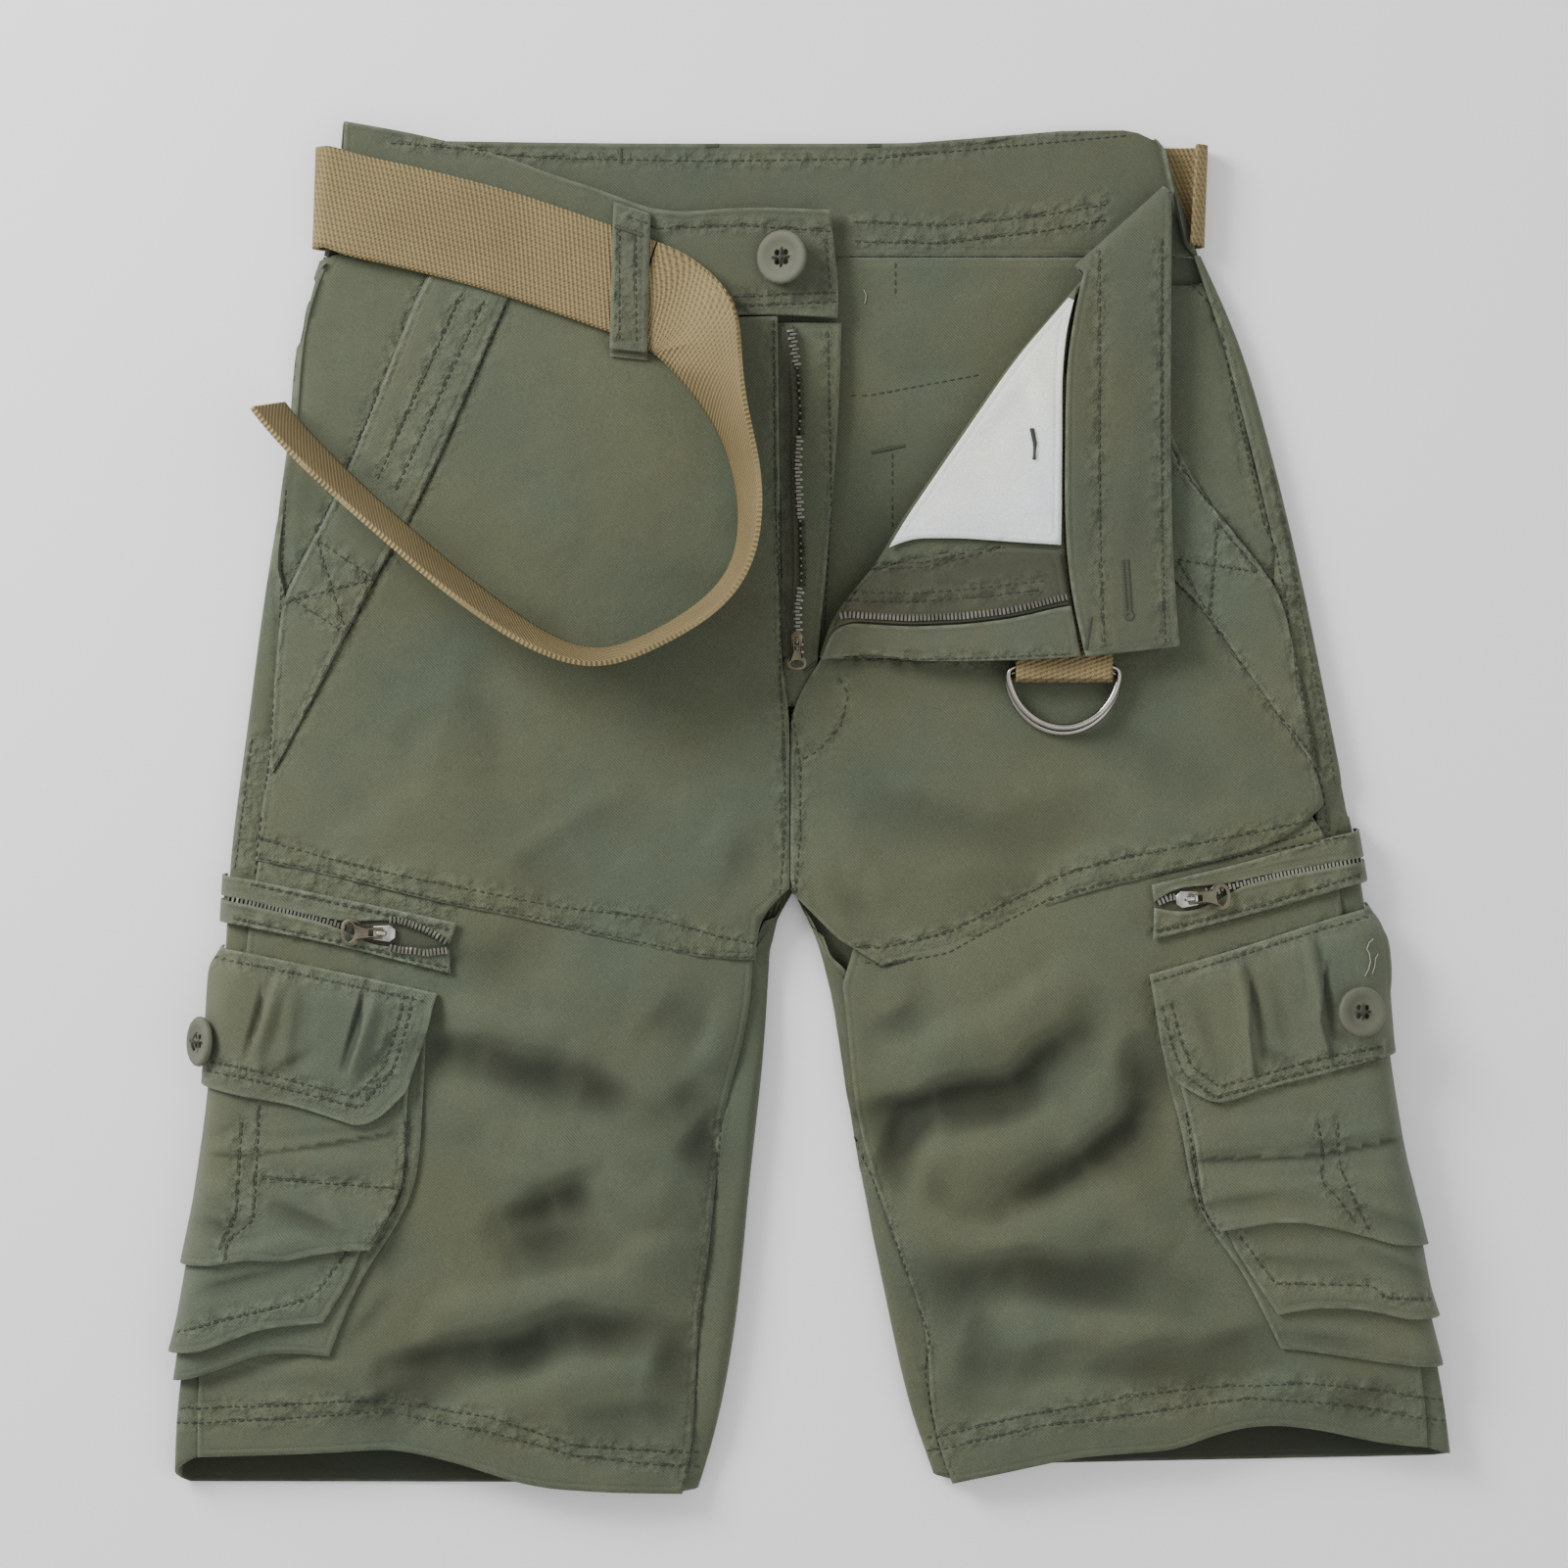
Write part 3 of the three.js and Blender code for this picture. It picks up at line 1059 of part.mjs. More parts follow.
function pullGeometry(scale) {
  const { length, neck, ring, thickness, bar, eye, eyeWidth } = PULL;
  const start = PULL_AXIS.x - bar / 2;
  const outline = new THREE.Shape();
  outline.moveTo(start, -neck / 2);
  outline.lineTo(start + length * 0.5, -neck / 2);
  outline.quadraticCurveTo(start + length * 0.58, -ring / 2, start + length * 0.76, -ring / 2);
  outline.quadraticCurveTo(start + length, -ring / 2, start + length, 0);
  outline.quadraticCurveTo(start + length, ring / 2, start + length * 0.76, ring / 2);
  outline.quadraticCurveTo(start + length * 0.58, ring / 2, start + length * 0.5, neck / 2);
  outline.lineTo(start, neck / 2);
  outline.closePath();
  const eyeHole = new THREE.Path();
  eyeHole.moveTo(start + bar, -eyeWidth / 2);
  eyeHole.lineTo(start + bar, eyeWidth / 2);
  eyeHole.lineTo(start + bar + eye, eyeWidth / 2);
  eyeHole.lineTo(start + bar + eye, -eyeWidth / 2);
  eyeHole.closePath();
  const ringHole = new THREE.Path();
  ringHole.absellipse(start + length * 0.79, 0, length * 0.13, ring * 0.36, 0, Math.PI * 2, false);
  outline.holes.push(eyeHole, ringHole);
  const geometry = extruded(outline, thickness);
  geometry.translate(0, 0, PULL_AXIS.z - thickness / 2);
  geometry.scale(scale, scale, scale);
  return geometry;
}

// Puts a part on a half's cloth: its +X along the heading, its +Z along the cloth's normal
function seatOn(mesh, half, x, y, lift, heading) {
  const p = unroll(half, x, y);
  const origin = raised(half, p, y, lift);
  const normal = raised(half, p, y, lift + 1).sub(origin).normalize();
  const along = new THREE.Vector3(half.sign * Math.cos(heading), Math.sin(heading), 0);
  along.addScaledVector(normal, -along.dot(normal)).normalize();
  const across = normal.clone().cross(along);
  mesh.quaternion.setFromRotationMatrix(new THREE.Matrix4().makeBasis(along, across, normal));
  mesh.position.copy(origin);
  group.add(mesh);
}

for (const [side, half] of Object.entries(halves)) {
  const { x, y, heading } = ZIPS[side].slider;
  const lift = TAPE_LIFT + SEAM_GAP;
  seatOn(fromManifold(sliderSolid(1), `zip_slider_${side}`, brass), half, x, y, lift, heading);
  const pull = new THREE.Mesh(pullGeometry(1), brass);
  pull.name = `zip_pull_${side}`;
  seatOn(pull, half, x, y, lift, heading);
}
const FLY_SLIDER = { x: 6.2, y: 69, heading: -Math.PI / 2, scale: 0.72 };
const flyLift = -TAPE_DROP + TEETH.height + SEAM_GAP;
seatOn(fromManifold(sliderSolid(FLY_SLIDER.scale), 'fly_slider', brass), halves.right,
  FLY_SLIDER.x, FLY_SLIDER.y, flyLift, FLY_SLIDER.heading);
const flyPull = new THREE.Mesh(pullGeometry(FLY_SLIDER.scale), brass);
flyPull.name = 'fly_pull';
seatOn(flyPull, halves.right, FLY_SLIDER.x, FLY_SLIDER.y, flyLift, FLY_SLIDER.heading);

// Buttons with a raised rim and four holes
const DISH = { foot: 0.9, rimInside: 0.68, floorRadius: 0.58, depth: 0.8, chamfer: 0.9 };
function buttonSolid(radius) {
  const { thickness, hole, holeSpread } = BUTTON;
  const scale = radius / BUTTON.radius;
  const floor = thickness - DISH.depth;
  const profile = [[0, 0], [radius * DISH.foot, 0], [radius, DISH.chamfer], [radius, floor],
    [radius - DISH.chamfer, thickness], [radius * DISH.rimInside, thickness],
    [radius * DISH.floorRadius, floor], [0, floor]];
  const disc = new THREE.LatheGeometry(profile.map(([x, y]) => new THREE.Vector2(x, y)), 18);
  disc.rotateX(Math.PI / 2);
  let solid = toManifold(disc);
  for (const [dx, dy] of [[1, 1], [1, -1], [-1, 1], [-1, -1]]) {
    const drill = new THREE.CylinderGeometry(hole * scale, hole * scale, thickness * 3, 6);
    drill.rotateX(Math.PI / 2);
    drill.translate(dx * holeSpread * scale * 0.72, dy * holeSpread * scale * 0.72, 0);
    solid = solid.subtract(toManifold(drill));
  }
  return solid;
}

function sewnButton(name, half, x, y, lift, radius, tilt) {
  const mesh = fromManifold(buttonSolid(radius), name, buttonPlastic);
  seatOn(mesh, half, x, y, lift + radius * Math.sin(Math.abs(tilt)), 0);
  mesh.rotateY(tilt);
}

const WAIST_BUTTON = { x: 11.6, y: 223.4, tilt: 0.42 };
const CARGO_BUTTON = { share: 0.92, lift: FLAP_LIFT + SEAM_GAP + 0.9 };
sewnButton('waist_button', halves.right, WAIST_BUTTON.x, WAIST_BUTTON.y,
  FRONT_BAND_LIFT + SEAM_GAP, BUTTON.radius, WAIST_BUTTON.tilt);
for (const [side, half] of Object.entries(halves)) {
  const { beyond, y, tilt } = CARGO[side].button;
  sewnButton(`cargo_button_${side}`, half, section(half, 'outer', y) + beyond, y,
    CARGO_BUTTON.lift, BUTTON.radius * CARGO_BUTTON.share, tilt);
}

// Belt: a point and a width direction for each row along it
const BELT_CENTRE = 1;
const vector = (x, y, z) => new THREE.Vector3(x, y, z);
const BELT_FACE = 12.9;
const LEFT_FOLD = { x: -195.75, y: 248.4 };
const RIGHT_FOLD = { x: 153.4, y: 249.2 };
const FRONT_ROUTE = [[-186, 244.6], [-170, 241.4], [-155, 237.8], [-138, 233.6], [-122, 228.9],
  [-104, 222.8], [-84, 215.8], [-70, 210.8]];

function routeRows(route, face) {
  return route.map(([x, y], k) => {
    const [ax, ay] = route[Math.max(k - 1, 0)];
    const [bx, by] = route[Math.min(k + 1, route.length - 1)];
    return { at: vector(x, y, face), side: vector(-(by - ay), bx - ax, 0) };
  });
}

function foldRows(fold, out, from, to, top, count) {
  const radius = (top - BELT_CENTRE) / 2;
  return evenly(count).map((share) => {
    const angle = lerp(from, to, share);
    return {
      at: vector(fold.x + out * radius * Math.cos(angle), fold.y,
        BELT_CENTRE + radius * (1 + Math.sin(angle))),
      side: vector(0.06 * smooth(share), 1, 0),
    };
  });
}

const QUARTER = Math.PI / 2;
group.add(strapMesh('belt_front', webbing, [
  { at: vector(-189, LEFT_FOLD.y, BELT_CENTRE), side: vector(0, 1, 0) },
  ...foldRows(LEFT_FOLD, -1, -QUARTER, QUARTER, BELT_FACE, 8),
  ...routeRows(FRONT_ROUTE, BELT_FACE),
], BELT.width, BELT.thickness));
group.add(strapMesh('belt_back', webbing, [
  { at: vector(-188.4, 248.6, BELT_CENTRE), side: vector(0, 1, 0) },
  { at: vector(-90, 248.8, BELT_CENTRE), side: vector(0, 1, 0) },
  { at: vector(30, 249, BELT_CENTRE), side: vector(0, 1, 0) },
  { at: vector(120, 249.2, BELT_CENTRE), side: vector(0, 1, 0) },
  ...foldRows(RIGHT_FOLD, 1, -QUARTER, QUARTER * 0.86, 13, 8),
], BELT.width, BELT.thickness));

// Free end: it leaves the loop flat, turns on edge, and stands round to its tip.
// lean is the angle of its width over the cloth, in degrees.
const FREE_END_COLUMNS = ['x', 'y', 'lean'];
const FREE_END = [
  [-69.3, 210.5, 0], [-62.5, 208.1, 0], [-57, 204.4, 0], [-49, 197, 14], [-44.5, 188.5, 36],
  [-39, 174, 58],
  [-32.5, 157.5, 73], [-27, 140, 76], [-24.5, 122, 78], [-26, 104, 79], [-32.5, 90, 79],
  [-44, 79, 79], [-59, 70, 80], [-75, 62.5, 80], [-88, 60.5, 80], [-101, 63.5, 80],
  [-117, 71.5, 79], [-135, 84.5, 78], [-151, 97, 78], [-165, 109.5, 78], [-179, 121.5, 78],
  [-194, 135.5, 77], [-206, 147.5, 77], [-213, 155.5, 77], [-218, 162, 77],
];
const FREE_END_CLEAR = 1.9;
const FREE_END_FLAT = 4;
group.add(strapMesh('belt_free_end', webbing, FREE_END.map((row, k) => {
  const [x, y, degrees] = row;
  const [ax, ay] = FREE_END[Math.max(k - 1, 0)];
  const [bx, by] = FREE_END[Math.min(k + 1, FREE_END.length - 1)];
  const lean = THREE.MathUtils.degToRad(degrees);
  const level = vector(-(by - ay), bx - ax, 0).normalize();
  const half = halves.right;
  const inside = Math.min(-x, rounds(half, y).outerStart);
  const floor = Math.max(frontHeight(half, inside, y) + FREE_END_CLEAR,
    k < FREE_END_FLAT ? BELT_FACE - BELT.thickness / 2 : 0);
  const rise = (BELT.width / 2) * Math.sin(lean) + (BELT.thickness / 2) * Math.cos(lean);
  return {
    at: vector(x, y, floor + rise),
    side: level.multiplyScalar(Math.cos(lean)).add(vector(0, 0, Math.sin(lean))),
  };
}), BELT.width, BELT.thickness));

// Ring end: under the turned waistband, then round the straight bars of the two rings
const RING_BAR = { x: 101.5, y: 56 };
const RING_END_WIDTH = 39;
const BAR_CLEAR = 0.35;
const RING_FLOOR_CLEAR = 0.2;
const RING_END_CLEAR = 0.5;
const ringFloor = frontHeight(halves.left, RING_BAR.x, RING_BAR.y) + SEAM_GAP + RING_FLOOR_CLEAR;
const lowerBar = ringFloor + BELT.thickness + BAR_CLEAR + RING.wire / 2;
const upperBar = lowerBar + RING.rise;
const loopBottom = ringFloor + BELT.thickness / 2;
const loopTop = upperBar + RING.wire / 2 + BAR_CLEAR + BELT.thickness / 2;
const RING_END_ROUTE = [[120, 178], [118, 160], [115, 140], [110, 112], [105, 88], [102.5, 72]];
const ringLoopRadius = (loopTop - loopBottom) / 2;
const acrossX = vector(1, 0, 0);
const ringEndRows = [
  ...RING_END_ROUTE.map(([x, y]) => ({
    at: vector(x, y, frontHeight(halves.left, x, y) + SEAM_GAP + RING_END_CLEAR
      + BELT.thickness / 2),
    side: vector(1, 0.08, 0),
  })),
  { at: vector(RING_BAR.x, RING_BAR.y + 1.5, loopBottom), side: acrossX },
  ...[-0.6, -0.2, 0.2, 0.6].map((share) => ({
    at: vector(RING_BAR.x, RING_BAR.y - 1.4 - 2.4 * Math.cos(share * QUARTER),
      loopBottom + ringLoopRadius * (1 + Math.sin(share * QUARTER * 1.5))),
    side: acrossX,
  })),
  { at: vector(RING_BAR.x, RING_BAR.y + 3.8, loopTop), side: acrossX },
  { at: vector(RING_BAR.x + 0.3, RING_BAR.y + 6.6, loopTop - 1.4), side: acrossX },
  { at: vector(RING_BAR.x + 0.6, RING_BAR.y + 13, loopTop - 6), side: acrossX },
  { at: vector(RING_BAR.x + 1.5, RING_BAR.y + 24, loopBottom + 2.9), side: acrossX },
];
group.add(strapMesh('belt_ring_end', webbing, ringEndRows, RING_END_WIDTH, BELT.thickness));

const ringHalf = (RING.inside + RING.wire) / 2;
const ringLow = frontHeight(halves.left, RING_BAR.x, RING_BAR.y - RING.depth) + 0.6 + RING.wire / 2;
function ringPath(offset, rise) {
  const bar = [-1, -0.5, 0, 0.5, 1].map((share) => [share * (ringHalf - 2.2), 0]);
  const arc = evenly(12).map((share) => {
    const angle = lerp(0.1, Math.PI - 0.1, share);
    return [ringHalf * Math.cos(angle), -RING.depth * Math.sin(angle)];
  });
  return [...bar, ...arc].map(([x, y]) => vector(RING_BAR.x + x, RING_BAR.y + y + offset,
    lerp(lowerBar, ringLow, -y / RING.depth) + rise));
}
const ringNormal = vector(0, -(lowerBar - ringLow) / RING.depth, 1).normalize();
for (const [name, offset, rise] of [['d_ring_lower', 0, 0], ['d_ring_upper', RING.offset, RING.rise]]) {
  group.add(wireRing(name, chrome, ringPath(offset, rise), ringNormal, RING.wire / 2, 7));
}

export default group;
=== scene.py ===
"""Cargo shorts laid flat, with the left front folded open, a webbing belt and two D-rings."""

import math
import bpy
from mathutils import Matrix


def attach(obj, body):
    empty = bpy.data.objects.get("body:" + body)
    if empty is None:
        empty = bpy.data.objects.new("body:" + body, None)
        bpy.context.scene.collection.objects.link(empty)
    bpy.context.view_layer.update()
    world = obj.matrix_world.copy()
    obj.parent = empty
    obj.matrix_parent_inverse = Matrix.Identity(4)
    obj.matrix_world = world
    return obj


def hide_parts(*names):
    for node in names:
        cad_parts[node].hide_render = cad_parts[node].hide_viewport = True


bl_info = {
    "name": "Cargo shorts, laid flat",
    "version": (1, 0, 0),
    "blender": (4, 5, 0),
    "location": "View3D > Sidebar > Shorts",
    "description": "Dresses a pair of cargo shorts with cloth, stitching and trim",
    "category": "Object",
}

import bmesh
import bpy
import numpy as np
from bpy.props import FloatProperty, FloatVectorProperty, PointerProperty
from mathutils import Vector, kdtree, noise
from mathutils.bvhtree import BVHTree

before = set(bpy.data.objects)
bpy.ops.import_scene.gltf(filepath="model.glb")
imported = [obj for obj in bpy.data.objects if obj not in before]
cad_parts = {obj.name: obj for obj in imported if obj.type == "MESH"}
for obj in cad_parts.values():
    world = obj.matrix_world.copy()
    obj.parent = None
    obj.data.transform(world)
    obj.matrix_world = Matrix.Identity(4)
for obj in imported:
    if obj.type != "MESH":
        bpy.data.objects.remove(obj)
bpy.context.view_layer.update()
MM = 0.001

# Creases in the cloth. Each group has how much wider and deeper it lies than its rows say, then
# rows of first point, second point, half width and height in millimetres. A height under zero is
# a trough.
CREASES = {
    "right leg": ((1.7, 2.3), [
        (-158, -96, -128, -101, 7, -1.6), (-128, -101, -92, -110, 9, -2.4),
        (-92, -110, -70, -122, 7, -1.6), (-142, -84, -96, -92, 8, 1.8),
        (-150, -120, -118, -118, 8, 1.2), (-122, -132, -84, -146, 9, 1.8),
        (-84, -146, -58, -164, 8, 1.2), (-124, -168, -104, -158, 9, -2.0),
        (-104, -158, -84, -150, 8, -1.8), (-52, -148, -38, -128, 8, -2.2),
        (-64, -160, -48, -140, 7, 1.2), (-170, -228, -132, -218, 9, -2.4),
        (-132, -218, -96, -208, 9, -2.6), (-96, -208, -64, -212, 8, -2.0),
        (-150, -206, -116, -196, 9, 2.0), (-112, -197, -76, -192, 9, 1.6),
        (-140, -240, -108, -232, 8, 1.6), (-104, -228, -70, -230, 8, 1.2),
        (-60, -240, -52, -214, 7, -1.6), (-92, -252, -64, -246, 7, -1.2),
        (-186, -246, -160, -238, 7, -1.4), (-230, -240, -206, -238, 6, 1.0),
        (-118, -180, -86, -176, 8, -1.3), (-72, -186, -54, -176, 7, 1.2),
        (-46, -104, -38, -82, 7, 1.0), (-64, -92, -50, -76, 8, -1.0),
        (-148, -62, -112, -58, 8, -0.9), (-104, -72, -76, -70, 8, 1.0),
        (-126, -146, -110, -150, 6, 0.8), (-58, -122, -44, -110, 7, -1.2),
    ]),
    "left leg": ((1.7, 2.3), [
        (22, -124, 48, -116, 8, -2.2), (48, -116, 80, -113, 9, -2.8),
        (80, -113, 104, -94, 9, -2.4), (104, -94, 112, -76, 7, -1.3),
        (34, -98, 72, -90, 9, 1.8), (72, -90, 112, -68, 9, 1.6),
        (38, -122, 30, -156, 7, -2.0), (48, -128, 42, -158, 7, 1.2),
        (134, -98, 130, -124, 8, -2.2), (130, -124, 110, -142, 8, -2.6),
        (110, -142, 78, -156, 9, -2.4), (60, -140, 96, -126, 9, 1.8),
        (84, -166, 118, -152, 8, 1.6), (44, -189, 88, -190, 12, -2.2),
        (88, -190, 138, -187, 11, -2.2), (50, -172, 92, -176, 8, 1.4),
        (70, -206, 116, -207, 9, 1.8), (116, -207, 162, -220, 8, 1.4),
        (122, -225, 182, -217, 9, -2.0), (78, -222, 108, -220, 7, -1.3),
        (60, -232, 72, -204, 7, -1.4), (96, -238, 140, -236, 8, 1.2),
        (168, -238, 200, -234, 7, 1.2), (206, -240, 236, -236, 6, -1.0),
        (46, -146, 60, -162, 7, -1.2), (120, -112, 108, -128, 7, 1.2),
        (26, -90, 44, -78, 7, -1.1), (60, -72, 84, -62, 7, 0.9),
        (20, -140, 34, -168, 6, 1.0), (128, -160, 144, -176, 7, 1.2),
    ]),
    "hips": ((1.8, 1.7), [
        (-126, -28, -100, -13, 8, -1.2), (-98, -12, -72, 3, 8, -1.0),
        (-118, -18, -88, 4, 9, 0.9), (-46, -20, -30, -5, 7, 1.0),
        (-32, -30, -20, -12, 6, -1.0), (-160, 32, -144, 40, 7, -0.8),
        (-140, 8, -136, 58, 8, -0.8), (-150, 12, -148, 50, 8, 0.6),
        (-60, 60, -30, 42, 9, 0.6), (-58, 92, -26, 84, 9, -0.6),
        (-50, 120, -24, 122, 9, 0.6), (-190, -10, -150, 6, 8, 0.8),
        (-170, -24, -130, -26, 8, 0.8), (-60, 4, -24, 10, 8, 0.6),
        (-120, 80, -96, 60, 9, -0.6), (-112, 120, -92, 104, 9, 0.5),
        (6, -4, 18, -24, 7, 1.2), (18, -24, 36, -38, 7, 1.0),
        (12, -30, 26, -46, 6, -1.1), (28, 2, 70, -8, 9, -1.2),
        (70, -8, 112, 2, 9, -0.9), (40, 22, 84, 14, 9, 0.8),
        (112, 34, 150, 16, 8, -0.9), (140, -4, 182, -6, 8, 0.8),
        (20, 40, 48, 30, 8, 0.8), (150, 60, 176, 30, 7, 0.7),
        (96, -22, 132, -16, 8, 0.8), (60, -34, 92, -28, 8, -0.8),
        (164, 118, 176, 96, 6, 0.6), (156, 184, 166, 150, 7, 0.7),
        (-206, 178, -196, 150, 7, 0.7), (-208, 140, -202, 104, 7, -0.6),
    ]),
    "turned front": ((1.3, 1.2), [
        (70, 150, 92, 176, 5, -0.7), (62, 128, 96, 122, 6, 0.7), (50, 118, 76, 112, 5, -0.5),
        (82, 196, 100, 150, 5, 0.5), (86, 130, 98, 112, 5, 0.6), (44, 112, 58, 126, 5, 0.5),
        (60, 84, 96, 90, 6, 0.7), (24, 84, 56, 82, 5, -0.6), (34, 66, 70, 66, 5, 0.6),
        (122, 196, 126, 150, 8, 0.6), (134, 140, 132, 100, 7, -0.5), (76, 160, 92, 128, 8, 0.7),
        (58, 134, 84, 118, 7, -0.6), (90, 176, 98, 140, 6, 0.6), (112, 92, 140, 90, 7, 0.5),
    ]),
    "cargo right": ((1.1, 1.3), [
        (-174, -70, -184, -104, 3.4, 1.9), (-214, -66, -223, -98, 3.4, 1.9),
        (-178.6, -68, -188.4, -103, 2.4, -1.7), (-218.4, -65, -227.4, -97, 2.4, -1.7),
        (-200, -96, -219, -107, 3, -1.2), (-168, -92, -180, -106, 3, -1.1),
        (-204, -72, -208, -104, 5, -0.8), (-166, -80, -172, -108, 5, -0.6),
        (-238, -70, -240, -100, 5, 0.7), (-168, -128, -222, -133, 4, -1.0),
        (-172, -142, -222, -140, 6, 1.2), (-190, -172, -216, -160, 5, -2.0),
        (-186, -170, -196, -156, 4, 1.4), (-226, -170, -248, -166, 5, -1.6),
        (-228, -156, -250, -150, 6, 1.4), (-204, -172, -232, -178, 5, 1.4),
        (-226, -128, -246, -132, 5, -0.9), (-198, -196, -232, -204, 5, 1.2),
        (-214, -186, -246, -194, 4, -1.2), (-190, -226, -222, -226, 5, 1.2),
        (-206, -220, -252, -234, 4, -1.6), (-170, -196, -186, -214, 4, -1.0),
    ]),
    "cargo left": ((1.1, 1.3), [
        (170, -60, 177, -100, 3.4, 2.0), (199, -52, 205, -92, 3.4, 2.0),
        (174.6, -58, 181.4, -99, 2.4, -1.7), (203.4, -51, 209.4, -91, 2.4, -1.7),
        (180, -96, 196, -103, 3, -1.2), (208, -88, 222, -96, 3, -1.1),
        (154, -74, 166, -106, 5, -0.7), (186, -70, 192, -98, 4, -0.7),
        (222, -60, 228, -90, 5, 0.6), (152, -140, 190, -138, 4, -1.6),
        (190, -138, 238, -131, 4, -1.8), (158, -128, 204, -126, 6, 1.4),
        (164, -150, 210, -152, 5, 1.4), (156, -160, 186, -156, 4, -1.2),
        (170, -166, 214, -164, 5, 1.6), (214, -160, 246, -170, 5, -1.5),
        (206, -146, 242, -150, 5, 1.2), (176, -182, 216, -184, 5, -1.2),
        (190, -192, 240, -196, 5, 1.4), (222, -178, 250, -190, 4, -1.3),
        (190, -212, 226, -216, 4, -1.4), (206, -208, 252, -220, 5, 1.2),
    ]),
}
# Tucks, where the cloth folds over itself: a line, the width of its slow side and its height in
# millimetres, and 1 or -1 where the cloth drops sharply to the left or right of the line
TUCKS = [
    ([(176, -66), (175, -90), (178, -112)], 7, 1.9, 1),
    ([(207, -57), (203.6, -84), (209, -104)], 7, 1.9, 1),
    ([(152, -140.5), (203, -138.5), (241, -131)], 12, 1.7, -1),
    ([(-180, -70), (-181, -90), (-188, -108)], 7, 1.9, -1),
    ([(-221, -64), (-221, -84), (-228, -100)], 7, 1.9, -1),
    ([(-166, -129), (-196, -134), (-226, -138), (-246, -137)], 12, 1.7, 1),
]
SWAYED = ("right leg", "left leg", "hips")
INSIDE_CREASES = [
    (14, 196, 44, 200, 6, 0.9), (30, 178, 70, 186, 7, -0.6), (20, 150, 40, 170, 6, 0.7),
    (-2, 130, 18, 150, 6, 0.8), (26, 128, 44, 140, 6, 0.8), (6, 90, 20, 112, 6, 0.7),
    (50, 204, 84, 214, 6, 0.7), (-4, 196, 10, 180, 5, 0.6), (-10, 240, 30, 246, 6, 0.5),
    (40, 236, 86, 238, 7, 0.4), (-150, 262, -90, 258, 6, 0.5), (90, 250, 130, 262, 6, 0.5),
]

